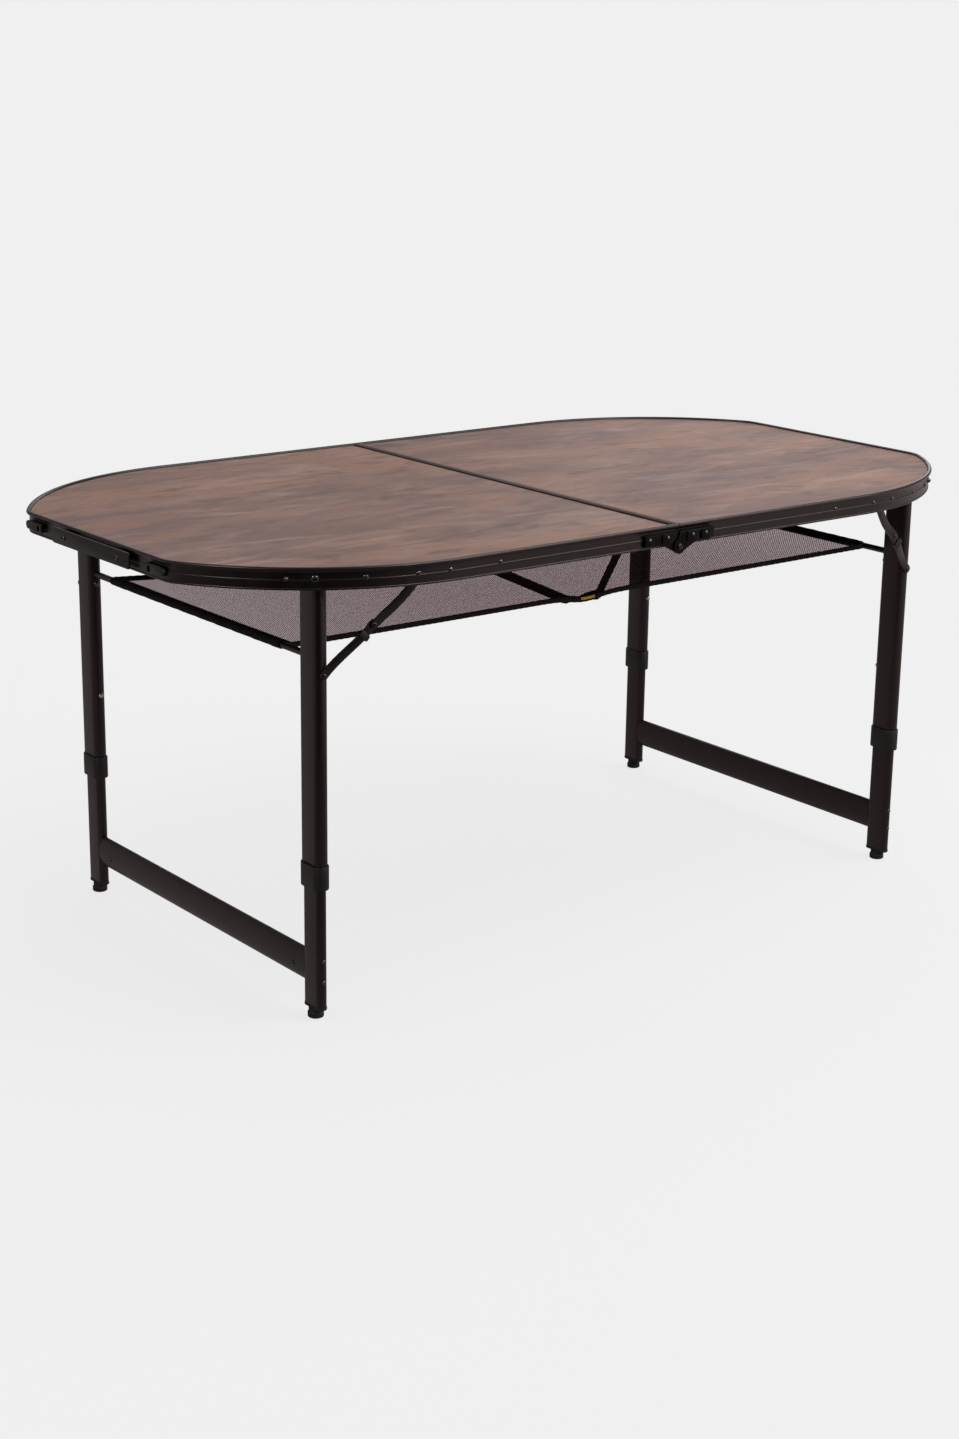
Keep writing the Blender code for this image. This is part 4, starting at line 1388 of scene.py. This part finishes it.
@dataclass
class EndFittings:
    """The carrying handle, the case latches and their keepers on the short ends."""

    rounding: float = 0.0008
    strap_corner: float = 0.0035
    strap_rounding: float = 0.0010

    def strap(self, box: Box) -> Mesh:
        """The flat handle strap, with small round corners.

        Args:
            box: The strap's box.

        Returns:
            The strap.
        """
        outline = block_points(box.size.y, box.size.z, self.strap_corner)
        made = bench.plate("handle_strap_flat", outline, box.size.x, self.strap_rounding)
        return bench.move(made, facing((-1, 0, 0), (box.high.x, box.middle.y, box.middle.z)))

    def build(self) -> None:
        """Finish the fittings and add the handle's screws."""
        strap = Box.of("handle_strap")
        dress(self.strap(strap), FITTING_PLASTIC, Slot.PLASTIC, Side.LEFT.half, "handle_strap")
        screw = fasteners.socket_screw(grow=1.1)
        places = []
        for end in End:
            for node in ("handle_spacer", "case_latch", "latch_keeper"):
                dress_softened(f"{node}_{end.word}", self.rounding, FITTING_PLASTIC, Slot.PLASTIC)
            middle = Box.of(f"handle_spacer_{end.word}").middle
            places.append(facing((-1, 0, 0), (strap.low.x, middle.y, middle.z)))
        fasteners.fix(screw, places, "handle_screws", BLACK_STEEL, Side.LEFT.half)
        bench.discard(screw)


@dataclass(frozen=True)
class LegPattern:
    """A piece of the right rear leg, made once and copied to all four.

    Attributes:
        node: First words of its copies' names and of the nodes they stand for.
        word: Last word of its copies' names.
        body: Name of the bodies they ride on, with {side} or {corner} to be filled in.
        mesh: The piece.
        finish: Its finish.
        slot: The record's slot for that finish.
        stands_in: Whether its copies replace their nodes.
    """

    node: str
    word: str
    body: str
    mesh: Mesh
    finish: Finish
    slot: Slot
    stands_in: bool = True

    def copy_to(self, side: Side, end: End, corner: str) -> None:
        """Copy the piece to a leg and dress it.

        Args:
            side: The leg's half of the table.
            end: The leg's long edge.
            corner: The leg's words in node names.
        """
        made = bench.copy(self.mesh, f"{self.node}_{corner}_{self.word}", to_quarter(side, end))
        body = self.body.format(side=side.word, corner=corner)
        nodes = [f"{self.node}_{corner}"] if self.stands_in else []
        dress(made, self.finish, self.slot, body, *nodes)


@dataclass
class LegFrames:
    """Folding frames: oval upper tubes and sliding lower tubes, collars, feet, bars and rods."""

    tube_rounding: float = 0.0009
    tube_wall: float = 0.0014
    collar_rounding: float = 0.0014
    button_rounding: float = 0.0003
    bracket_rounding: float = 0.0004
    fit: float = 0.0004
    overrun: float = 0.002
    pivot_radius: float = 0.011
    head: float = 0.033
    plug: float = 0.012
    button_radius: float = 0.0045
    button_level: float = 0.340
    setting_pitch: float = 0.030
    settings: int = 4
    bolt_level: float = 0.5235
    bar_rivet_spread: float = 0.016
    bar_screw: Point = (0.2700, 0.0690)
    cap_grow: float = 0.0012
    cap_height: float = 0.0045
    rod_chamfer: float = 0.0006
    foot_grip: tuple[Point, ...] = ((0.0016, 0.0), (0.0005, 0.0006), (0.0, 0.0018), (0.0, 0.0040))
    foot_groove: tuple[Point, ...] = ((0.0008, 0.0046), (0.0008, 0.0052), (0.0, 0.0058), (0.0, 0.0078))
    foot_neck: tuple[Point, ...] = ((0.0006, 0.0088), (0.0016, 0.0096), (0.0016, 0.0146))

    @staticmethod
    def post(name: str, box: Box, grow: float, levels: Point, rounding: float = 0.0) -> Mesh:
        """An upright oval bar on a box's axis.

        Args:
            name: The bar's name.
            box: The box that gives its axis and its section.
            grow: What its section gains on both sizes.
            levels: Its lower and upper end.
            rounding: Width of its rounded rims.

        Returns:
            The bar.
        """
        bottom, top = levels
        made = bench.plate(name, oval_points(box.size.x + grow, box.size.y + grow), top - bottom, rounding)
        return bench.move(made, Matrix.Translation((box.middle.x, box.middle.y, bottom)))

    def drill(self, tube: Mesh, box: Box, level: float) -> Mesh:
        """Drill a button hole through the inner wall of a rear tube.

        Args:
            tube: The tube.
            box: Its box.
            level: The hole's height.

        Returns:
            The same tube.
        """
        depth = 2 * (self.tube_wall + self.overrun)
        tool = bench.turned("drill", [(self.button_radius, 0.0), (self.button_radius, depth)])
        bench.move(tool, facing((0, 1, 0), (box.middle.x, box.low.y - self.overrun, level)))
        return bench.cut(tube, tool)

    def upper_leg(self, box: Box) -> Mesh:
        """An upper tube, rounded over its pivot, bored from below and drilled for its button.

        Args:
            box: The tube's box.

        Returns:
            The tube.
        """
        low, high = box.low.z, box.high.z
        tube = self.post("upper_leg", box, 0.0, (low, high), self.tube_rounding)
        crown = arc_points(self.pivot_radius, 0, 180, steps=20, centre=(0, high - low - self.pivot_radius))
        reach, spring = 2 * self.pivot_radius, crown[0][1]
        outline = [(-reach, -reach), (reach, -reach), (reach, spring)] + crown + [(-reach, spring)]
        tool = bench.plate("crown", outline, box.size.y * 2, 0.0)
        bench.move(tool, Matrix.Translation((box.middle.x, box.middle.y + box.size.y, low)) @ UPRIGHT)
        bench.cut(tube, tool, "INTERSECT")
        bench.cut(tube, self.post("bore", box, -2 * self.tube_wall, (low - self.overrun, high - self.head)))
        return bench.smooth(self.drill(tube, box, self.button_level))

    def collar(self, box: Box, upper: Box, lower: Box) -> Mesh:
        """A collar with a socket for the upper tube and a guide for the lower one.

        Args:
            box: The collar's box.
            upper: The upper tube's box.
            lower: The lower tube's box.

        Returns:
            The collar.
        """
        low, high = box.low.z, box.high.z
        sleeve = self.post("leg_collar", box, 0.0, (low, high), self.collar_rounding)
        bench.cut(sleeve, self.post("socket", upper, self.fit, (upper.low.z, high + self.overrun)))
        bench.cut(sleeve, self.post("guide", lower, self.fit, (low - self.overrun, high)))
        return bench.smooth(sleeve)

    def lower_leg(self, box: Box) -> Mesh:
        """A lower tube, bored down to its plug and drilled with its height settings.

        Args:
            box: The tube's box.

        Returns:
            The tube.
        """
        low, high = box.low.z, box.high.z
        tube = self.post("lower_leg", box, 0.0, (low, high), self.tube_rounding)
        bench.cut(tube, self.post("bore", box, -2 * self.tube_wall, (low + self.plug, high + self.overrun)))
        for k in range(self.settings):
            self.drill(tube, box, self.button_level - k * self.setting_pitch)
        return bench.smooth(tube)

    def cap(self, box: Box) -> Mesh:
        """The plastic cap round the end of the lower tube with this box."""
        levels = (box.low.z, box.low.z + self.cap_height)
        return self.post("leg_cap", box, self.cap_grow, levels, self.tube_rounding)

    def foot(self, box: Box) -> Mesh:
        """A screw foot with a grooved grip and a neck.

        Args:
            box: The foot's box.

        Returns:
            The foot.
        """
        radius = box.size.x / 2
        rings = self.foot_grip + self.foot_groove + self.foot_neck
        made = bench.turned("leveling_foot", [(radius - inset, level) for inset, level in rings], sides=40)
        return bench.move(made, Matrix.Translation((box.middle.x, box.middle.y, 0.0)))

    def bar(self, box: Box, leg: Box) -> Mesh:
        """The bar between two feet, coped round the lower tubes.

        Args:
            box: The bar's box.
            leg: The rear lower tube's box.

        Returns:
            The bar.
        """
        made = bench.plate("foot_bar", ellipse_points(box.size.x, box.size.z), box.size.y, 0.0)
        bench.move(made, Matrix.Translation((box.middle.x, box.high.y, box.middle.z)) @ UPRIGHT)
        for end in End:
            cope = self.post("cope", leg, self.fit, (box.low.z - self.overrun, box.high.z + self.overrun))
            bench.cut(made, bench.move(cope, to_quarter(Side.RIGHT, end)))
        return bench.smooth(made)

    def rod(self, box: Box) -> Mesh:
        """The round rod that carries an end of the net.

        Args:
            box: The rod's box.

        Returns:
            The rod.
        """
        radius, length, chamfer = box.size.x / 2, box.size.y, self.rod_chamfer
        ends = [(radius - chamfer, 0.0), (radius, chamfer)]
        made = bench.turned("net_rod", ends + [(r, length - run) for r, run in reversed(ends)])
        return bench.move(made, facing((0, 1, 0), (box.middle.x, box.low.y, box.middle.z)))

    def fasten(self, side: Side) -> None:
        """Add the brace bolts inside the upper tubes and the rivets and screws of the bar.

        Args:
            side: The frame's half of the table.
        """
        bolts, rivets, screws = [], [], []
        bar = Box.of(f"foot_bar_{side.word}")
        reach, screw_level = self.bar_screw
        for end in End:
            leg = Box.of(f"upper_leg_{side.word}_{end.word}")
            inside = (leg.middle.x, leg.face(1, -end.value), self.bolt_level)
            bolts.append(facing((0, -end.value, 0), inside))
            leg = Box.of(f"lower_leg_{side.word}_{end.word}")
            beside = (bar.face(0, side.value), end.value * reach, screw_level)
            screws.append(facing((side.value, 0, 0), beside))
            for shift in (-self.bar_rivet_spread, self.bar_rivet_spread):
                outside = (leg.middle.x, leg.face(1, end.value), bar.middle.z + shift)
                rivets.append(facing((0, end.value, 0), outside))
        for word, head, places, body in (
            ("brace_bolts", fasteners.dome(grow=1.15, lift=1.1), bolts, "leg_frame"),
            ("bar_rivets", fasteners.dome(grow=0.8), rivets, "foot_frame"),
            ("bar_screws", fasteners.socket_screw(grow=0.8), screws, "foot_frame"),
        ):
            fasteners.fix(head, places, f"{word}_{side.word}", BLACK_STEEL, f"{body}_{side.word}")
            bench.discard(head)

    def patterns(self) -> list[LegPattern]:
        """The right rear leg's pieces.

        Returns:
            Upper tube, collar, lower tube, cap and foot.
        """
        nodes = ("upper_leg", "lower_leg", "leg_collar", "leveling_foot")
        upper, lower, collar, foot = (Box.of(f"{node}_right_rear") for node in nodes)
        sleeve = self.collar(collar, upper, lower)
        return [
            LegPattern("upper_leg", "tube", "leg_frame_{side}", self.upper_leg(upper), LEG_COAT, Slot.LEG),
            LegPattern("leg_collar", "sleeve", "leg_frame_{side}", sleeve, FITTING_PLASTIC, Slot.PLASTIC),
            LegPattern("lower_leg", "tube", "foot_frame_{side}", self.lower_leg(lower), LEG_COAT, Slot.LEG),
            LegPattern(
                "lower_leg", "cap", "foot_frame_{side}", self.cap(lower), FOOT_PLASTIC, Slot.FOOT,
                stands_in=False,
            ),
            LegPattern("leveling_foot", "turned", "foot_{corner}", self.foot(foot), FOOT_PLASTIC, Slot.FOOT),
        ]

    def build(self) -> None:
        """Make the right rear leg, the right bar and the right rod, and copy them to their places."""
        patterns = self.patterns()
        for side, end, corner in CORNERS:
            for pattern in patterns:
                pattern.copy_to(side, end, corner)
            dress_softened(f"snap_button_{corner}", self.button_rounding, STEEL, Slot.STEEL)
            dress_softened(f"leg_bracket_{corner}", self.bracket_rounding, RAIL_COAT, Slot.RAIL)
        bar = self.bar(Box.of("foot_bar_right"), Box.of("lower_leg_right_rear"))
        rod = self.rod(Box.of("net_rod_right"))
        for side in Side:
            for kind, word, frame_word, mesh in (
                ("foot_bar", "tube", "foot_frame", bar),
                ("net_rod", "turned", "leg_frame", rod),
            ):
                node = f"{kind}_{side.word}"
                made = bench.copy(mesh, f"{node}_{word}", to_quarter(side, End.REAR))
                dress(made, LEG_COAT, Slot.LEG, f"{frame_word}_{side.word}", node)
            self.fasten(side)
        bench.discard(bar, rod, *(pattern.mesh for pattern in patterns))


@dataclass
class Braces:
    """Two-link braces between the rails and the legs, with a lock clip beside each joint."""

    joint: Point = (0.5189, 0.5863)
    joint_plane: float = 0.3738
    leg_pivot: Point = (0.585, 0.517)
    leg_plane: float = 0.3463
    lock_place: float = 0.021
    lock_plane: float = 0.3637
    lock_size: Triple = (0.0165, 0.0098, 0.0069)
    lock_corner: float = 0.0024
    lock_rounding: float = 0.0008
    link_rounding: float = 0.0006
    rivet_grow: float = 0.9

    def lock(self, side: Side, end: End, corner: str) -> Mesh:
        """The lock clip that straddles a lower link.

        Args:
            side: The brace's half of the table.
            end: The brace's long edge.
            corner: The brace's words in node names.

        Returns:
            The clip.
        """
        start = Vector((self.joint[0], 0.0, self.joint[1]))
        along = (Vector((self.leg_pivot[0], 0.0, self.leg_pivot[1])) - start).normalized()
        flip = Vector((side.value, 1.0, 1.0))
        along, middle = along * flip, (start + along * self.lock_place) * flip
        out = Vector((0.0, end.value, 0.0))
        turn = Matrix((along.cross(out), along, out)).transposed().to_4x4()
        seat = Vector((middle.x, end.value * self.lock_plane, middle.z))
        wide, tall, thick = self.lock_size
        outline = block_points(wide, tall, self.lock_corner)
        made = bench.plate(f"brace_lock_{corner}", outline, thick, self.lock_rounding)
        return bench.move(made, Matrix.Translation(seat) @ turn)

    def build(self) -> None:
        """Finish the links, lock them and rivet them."""
        head = fasteners.dome(self.rivet_grow)
        for side, end, corner in CORNERS:
            for link in ("brace_upper", "brace_lower"):
                dress_softened(f"{link}_{corner}", self.link_rounding, BRACE_COAT, Slot.BRACE)
            dress(self.lock(side, end, corner), FITTING_PLASTIC, Slot.PLASTIC, f"brace_lower_{corner}")
            for word, link, (x, z), plane in (
                ("brace_joint", "brace_upper", self.joint, self.joint_plane),
                ("brace_pivot", "brace_lower", self.leg_pivot, self.leg_plane),
            ):
                place = facing((0, end.value, 0), (x * side.value, end.value * plane, z))
                fasteners.fix(head, [place], f"{word}_{corner}", PIN_STEEL, f"{link}_{corner}")
        bench.discard(head)


@dataclass
class StorageNet:
    """The net shelf between the rods: three lengths of net, taped hems, sleeves, straps and a tab."""

    half_length: float = 0.5788
    half_width: float = 0.250
    edge_bow: float = 0.040
    edge_sag: float = 0.014
    middle_sag: float = 0.014
    dip: float = 0.0065
    dip_reach: float = 0.040
    rod_level: float = 0.539
    rod_x: float = 0.585
    fold: float = 0.250
    pitch: float = 0.0045
    strand: float = 0.0028
    binding: Point = (0.0032, 0.0085)
    pucker: float = 0.05
    pucker_rate: float = 520.0
    hem: float = 0.014
    hem_thickness: float = 0.0014
    tape_rounding: float = 0.0004
    sleeve_reach: float = 0.240
    sleeve_radius: float = 0.0066
    sleeve_gather: float = 0.0003
    sleeve_rates: Point = (190.0, 60.0)
    strap_width: float = 0.016
    strap_thickness: float = 0.0014
    strap_gap: float = 0.0003
    strap_run: float = 0.0325
    strap_anchor: Triple = (0.316, 0.020, 0.6655)
    strap_tab: float = 0.030
    strap_twist: float = 70.0
    strap_rise: float = 0.25
    tab_height: float = 0.0045
    tab_share: float = 0.70
    tab_bow: float = 0.0004
    tab_thickness: float = 0.0010
    tab_rounding: float = 0.0003
    gather_axis: Point = (-0.495, 0.869)
    gather_level: float = 0.522
    gather_keep: float = 0.08

    def edge(self, x: float) -> float:
        """Half width of the net at x."""
        return self.half_width - self.edge_bow * (1 - (x / self.half_length) ** 2)

    def level(self, x: float, y: float) -> float:
        """Height of the net at a place.

        Args:
            x: Place along the table.
            y: Place across it.

        Returns:
            The height.
        """
        across = y / self.edge(x)
        sag = self.edge_sag + self.middle_sag * (1 - across * across)
        pull = self.dip * math.exp(-((x / self.dip_reach) ** 2)) * across * across
        return self.rod_level - (1 - (x / self.half_length) ** 2) * sag - pull

    def lengths(self) -> dict[str, Point]:
        """The three lengths of net along X."""
        ends = (-self.half_length, -self.fold, self.fold, self.half_length)
        return dict(zip(("left", "middle", "right"), zip(ends, ends[1:])))

    def net(self, word: str) -> Mesh:
        """One length of net: a grid with each cell inset and opened.

        Args:
            word: The length's name.

        Returns:
            The net.
        """
        first, last = self.lengths()[word]

        def shape(along: float, across: float) -> Vector:
            """A place on the net."""
            x = first + (last - first) * along
            y = (2 * across - 1) * (self.edge(x) - self.binding[0] / 2)
            return Vector((x, y, self.level(x, y)))

        cells = (round((last - first) / self.pitch), round(2 * self.half_width / self.pitch))
        made = bench.sheet(f"net_{word}", cells, shape)
        with bench.editing(made, "FACE"):
            bpy.ops.mesh.inset(thickness=self.strand / 2, depth=0.0, use_individual=True)
            bpy.ops.mesh.delete(type="FACE")
        return bench.smooth(made)

    def hem_tape(self, word: str, end: End) -> Mesh:
        """The binding folded over one long edge of a length, puckered a little by its stitches.

        Args:
            word: The length's name.
            end: The long edge.

        Returns:
            The binding.
        """
        first, last = self.lengths()[word]
        thick, tall = self.binding

        def shape(along: float, across: float) -> Vector:
            """A place on the binding."""
            x = first + (last - first) * along
            turn = 2 * math.pi * across
            pucker = 1 + self.pucker * math.sin(self.pucker_rate * x)
            y = end.value * (self.edge(x) - thick / 2 + thick / 2 * math.cos(turn) * pucker)
            return Vector((x, y, self.level(x, self.edge(x)) + tall / 2 * math.sin(turn) * pucker))

        made = bench.sheet(f"net_hem_{word}_{end.word}", cells=(110, 14), shape=shape)
        return bench.close_ends(bench.tidy(made))

    @staticmethod
    def taped(sheet: Mesh, thickness: float, rounding: float) -> Mesh:
        """Give a flat tape its thickness and its rounded edges."""
        bench.modify(sheet, "SOLIDIFY", thickness=thickness, offset=0.0)
        return bench.round_edges(sheet, rounding)

    def end_tape(self, side: Side) -> Mesh:
        """The tape across the net beside its sleeve.

        Args:
            side: The net's end.

        Returns:
            The tape.
        """
        inner = self.half_length - self.hem

        def shape(along: float, across: float) -> Vector:
            """A place on the tape."""
            x = side.value * (inner + self.hem * across)
            y = (2 * along - 1) * (self.edge(x) - self.hem / 2)
            return Vector((x, y, self.level(x, y)))

        made = bench.sheet(f"net_end_{side.word}", cells=(48, 3), shape=shape)
        return self.taped(made, self.hem_thickness, self.tape_rounding)

    def sleeve(self, side: Side) -> Mesh:
        """The cloth tube round a rod, gathered a little along its length.

        Args:
            side: The rod's half of the table.

        Returns:
            The sleeve.
        """
        swell, slant = self.sleeve_rates

        def shape(along: float, across: float) -> Vector:
            """A place on the sleeve."""
            y = (2 * along - 1) * self.sleeve_reach
            turn = 2 * math.pi * across
            gather = self.sleeve_gather * math.sin(swell * y) * math.sin(2 * turn + slant * y)
            radius = self.sleeve_radius + gather
            x = side.value * self.rod_x + radius * math.cos(turn)
            return Vector((x, y, self.rod_level + radius * math.sin(turn)))

        made = bench.sheet(f"net_sleeve_{side.word}", cells=(90, 20), shape=shape)
        return bench.smooth(bench.tidy(made))

    def strap_turns(self) -> list[Vector]:
        """Where the rear strap bends, on its way from one board down to the hem and up to the other board.

        Returns:
            Its two ends and the four bends between them.
        """
        lift = self.hem_thickness / 2 + self.strap_thickness / 2
        hem_y = self.edge(0.0) - self.strap_width / 2
        low = Vector((self.strap_run, hem_y, self.level(0.0, self.edge(0.0)) + lift + self.strap_gap))
        high = Vector(self.strap_anchor)
        right = [low, high, high + Vector((self.strap_tab, 0.0, 0.0))]
        return [Vector((-p.x, p.y, p.z)) for p in reversed(right)] + right

    def strap(self, end: End) -> Mesh:
        """A strap that turns on edge on its way down to the hem.

        Args:
            end: The long edge that it is near.

        Returns:
            The strap.
        """
        points = self.strap_turns()
        lengths = [(b - a).length for a, b in zip(points, points[1:])]
        total = sum(lengths)
        twists: dict[int, Callable[[float], float]] = {
            1: lambda share: min(1.0, share / self.strap_rise),
            2: lambda share: 1 - 2 * share,
            3: lambda share: -min(1.0, (1 - share) / self.strap_rise),
        }

        def shape(along: float, across: float) -> Vector:
            """A place on the strap."""
            left = along * total
            k = 0
            while k < len(lengths) - 1 and left > lengths[k]:
                left -= lengths[k]
                k += 1
            share = left / lengths[k]
            spot = points[k].lerp(points[k + 1], share)
            heading = (points[k + 1] - points[k]).normalized()
            wide = Vector((0.0, 0.0, 1.0)).cross(heading).normalized() * self.strap_width
            if k in twists:
                wide.rotate(Quaternion(heading, math.radians(self.strap_twist) * twists[k](share)))
            spot = spot + wide * (across - 0.5)
            return Vector((spot.x, spot.y * end.value, spot.z))

        made = bench.tidy(bench.sheet(f"net_strap_{end.word}_tape", cells=(120, 3), shape=shape))
        return self.taped(made, self.strap_thickness, self.tape_rounding)

    def tab(self) -> Mesh:
        """The plain pull tab folded over the front hem.

        Returns:
            The tab.
        """
        box = Box.of("net_tab")

        def shape(along: float, across: float) -> Vector:
            """A place on the tab."""
            x = box.low.x + box.size.x * self.tab_share * along
            y = box.middle.y - self.tab_bow * math.sin(math.pi * along)
            return Vector((x, y, self.level(x, self.edge(x)) + self.tab_height * across))

        made = bench.sheet("net_tab_tape", cells=(16, 6), shape=shape)
        return self.taped(made, self.tab_thickness, self.tab_rounding)

    def hang(self, piece: Mesh, word: str) -> Mesh:
        """Let a piece of one length follow the fold between the halves, or its half and its legs' fold.

        Args:
            piece: The piece.
            word: The length's name.

        Returns:
            The same piece.
        """
        if word == "middle":
            start, end = ((x, 0.0, self.rod_level) for x in (-self.fold, self.fold))
            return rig.blend(piece, "left_half", "right_half", start=start, end=end)
        side = Side[word.upper()]
        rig.ride(piece, side.half)
        along, up = self.gather_axis
        axis = (side.value * along, 0.0, up)
        anchor = (side.value * self.fold, 0.0, self.gather_level)
        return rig.squash(piece, f"leg_fold_{word}", axis=axis, anchor=anchor, keep=self.gather_keep)

    def build(self) -> None:
        """Make the net and everything sewn to it."""
        for word, (first, last) in self.lengths().items():
            sewn = [paint(self.hem_tape(word, end), HEM_TAPE, Slot.WEBBING) for end in End]
            cloth = paint(self.net(word), NET_YARN, Slot.NET)
            area = sum(face.area for face in cloth.data.polygons)
            if word != "middle":
                sewn.append(paint(self.end_tape(Side[word.upper()]), HEM_TAPE, Slot.WEBBING))
            for piece in sewn + [cloth]:
                self.hang(piece, word)
            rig.replaces(cloth, "storage_net")
            flat = (2 * self.half_width, last - first)
            rods = ["net_rod_left", "net_rod_right"]
            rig.sheet(cloth, flat=flat, held="stretched", rests_on=rods, area=area, with_pieces=sewn)
        for side in Side:
            dress(self.sleeve(side), HEM_TAPE, Slot.WEBBING, f"leg_frame_{side.word}")
        for end in End:
            strap = paint(self.strap(end), STRAP_TAPE, Slot.WEBBING)
            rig.replaces(self.hang(strap, "middle"), f"net_strap_{end.word}")
        tab = paint(self.tab(), TAB_TAPE, Slot.TAB)
        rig.replaces(self.hang(tab, "middle"), "net_tab")


@dataclass(frozen=True)
class Lamp:
    """A soft square lamp, which lights the table or only glints on it."""

    name: str
    place: Triple
    size: float
    power: float
    only_glints: bool = False

    def hang(self, target: Triple) -> None:
        """Hang the lamp, aimed at a target.

        Args:
            target: The place it is aimed at.
        """
        lamp = bpy.data.lights.new(self.name, "AREA")
        lamp.size = self.size
        lamp.energy = self.power
        holder = bpy.data.objects.new(self.name, lamp)
        bpy.context.scene.collection.objects.link(holder)
        holder.location = self.place
        aim = Vector(target) - Vector(self.place)
        holder.rotation_euler = aim.to_track_quat("-Z", "Y").to_euler()
        holder.visible_diffuse = not self.only_glints


@dataclass
class Studio:
    """A pale floor, a pale backdrop, soft lamps and the camera."""

    pale: Colour = (0.871, 0.871, 0.871, 1.0)
    black: Colour = (0.0, 0.0, 0.0, 1.0)
    floor_size: float = 60.0
    shadow: float = 0.12
    shadow_reach: Point = (0.7, 2.0)
    sky: float = 0.62
    sky_dimmed: float = 0.4
    dark_side: Triple = (-0.622, -0.783, 0.0)
    dark_span: Span = (0.58, 0.98, 1.0, 0.03)
    bright_side: Triple = (0.783, -0.622, 0.0)
    mirrored: Point = (0.46, 0.66)
    mirrored_near: float = 0.42
    mirrored_reach: Point = (0.6, 1.8)
    mirrored_tone: Colour = (0.871, 0.765, 0.755, 1.0)
    camera_place: Triple = (-2.3558, -2.9674, 1.3880)
    camera_turn: Triple = (73.3474, -0.5952, -37.1367)
    lens: float = 59.447
    shift: Point = (0.01705, 0.00631)
    target: Triple = (0.0, 0.0, 0.45)
    lamps: tuple[Lamp, ...] = (
        Lamp("key_lamp", (1.0, -1.2, 3.0), 2.4, 56.0),
        Lamp("fill_lamp", (2.6, -2.8, 2.4), 2.4, 22.0),
        Lamp("back_lamp", (0.8, 2.6, 3.4), 2.6, 38.0),
        Lamp("left_glint", (-3.6, -1.2, 2.6), 0.5, 40.0, only_glints=True),
        Lamp("front_glint", (0.2, -3.9, 2.6), 0.5, 40.0, only_glints=True),
        Lamp("right_glint", (2.6, -2.8, 2.4), 1.6, 80.0, only_glints=True),
        Lamp("back_glint", (3.4, 2.6, 1.8), 2.0, 16.0, only_glints=True),
    )

    def floor(self) -> None:
        """A wide floor that keeps a soft shadow near the table and is the backdrop's colour beyond it; in reflections
        it glows as a painted reflection, lighter on its bright side, darker on its dark side and tinted warm.
        """
        ground = bench.primitive("plane", "studio_floor", size=self.floor_size)
        graph = Graph.for_material("pale_floor")
        where = graph.add("ShaderNodeTexCoord", output="Object")
        away = graph.vector("LENGTH", "Value", where)
        lit = graph.between(away, *self.shadow_reach, self.shadow, 0.0)
        bearing = graph.vector("NORMALIZE", "Vector", where)
        ahead = graph.vector("DOT_PRODUCT", "Value", bearing, self.dark_side)
        across = graph.vector("DOT_PRODUCT", "Value", bearing, self.bright_side)
        # Painted reflection: the glow that only reflections see is graded from the dark side to the bright side, and
        # warmed by the mirrored tone.
        far = graph.between(ahead, *self.dark_span) * graph.between(across, -1.0, 1.0, *self.mirrored)
        away_share = graph.between(away, *self.mirrored_reach)
        mirrored = away_share * far + (1.0 - away_share) * self.mirrored_near
        seen, glossy = graph.seen(), graph.ray("Glossy")
        glow = seen * (1.0 - lit)
        tone = graph.mix(glossy, self.pale, self.mirrored_tone)
        ground.data.materials.append(graph.finish({
            "Base Color": graph.mix(glow + glossy, self.pale, self.black),
            "Emission Color": graph.mix(glow + glossy * mirrored, self.black, tone),
            "Emission Strength": 1.0,
            "Roughness": 1.0,
            "Specular IOR Level": 0.0,
        }))
        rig.stage(ground)

    def sky_light(self) -> None:
        """A pale sky that lights softly, shows as the backdrop and is dimmer in reflections."""
        graph = Graph(bpy.data.worlds.new("studio_sky"), "Background")
        glossy = graph.ray("Glossy")
        shown = graph.between(graph.seen(), 0.0, 1.0, self.sky, 1.0)
        bpy.context.scene.world = graph.finish({
            "Color": graph.mix(glossy, self.pale, self.mirrored_tone),
            "Strength": shown * (1.0 - glossy * self.sky_dimmed),
        })

    def camera(self) -> None:
        """The camera at the photograph's angle."""
        view = bpy.data.cameras.new("photo_camera")
        view.lens = self.lens
        view.shift_x, view.shift_y = self.shift
        holder = bpy.data.objects.new("photo_camera", view)
        bpy.context.scene.collection.objects.link(holder)
        holder.location = self.camera_place
        holder.rotation_euler = [math.radians(turn) for turn in self.camera_turn]
        bpy.context.scene.camera = holder

    def build(self) -> None:
        """Set the whole studio up."""
        bpy.context.scene.view_settings.view_transform = "Standard"
        self.floor()
        self.sky_light()
        for lamp in self.lamps:
            lamp.hang(self.target)
        self.camera()


def write_sizes() -> None:
    """Write the construction's box and the finished model's box."""
    boxes = {"cad": cad_box, "visual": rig.bounds()}
    plain = {name: [[float(x) for x in corner] for corner in box] for name, box in boxes.items()}
    with open(SIZE_FILE, "w") as out:
        json.dump(plain, out)


def main() -> None:
    """Build every sub-assembly, then the studio."""
    logging.basicConfig(level=logging.INFO, format="%(name)s: %(message)s")
    assemblies = (
        TableTop(), CentreHinges(), EndFittings(), LegFrames(), Braces(), StorageNet(), Studio(),
    )
    for assembly in assemblies:
        log.info("building %s", type(assembly).__name__)
        assembly.build()
    write_sizes()


if __name__ == "__main__":
    main()
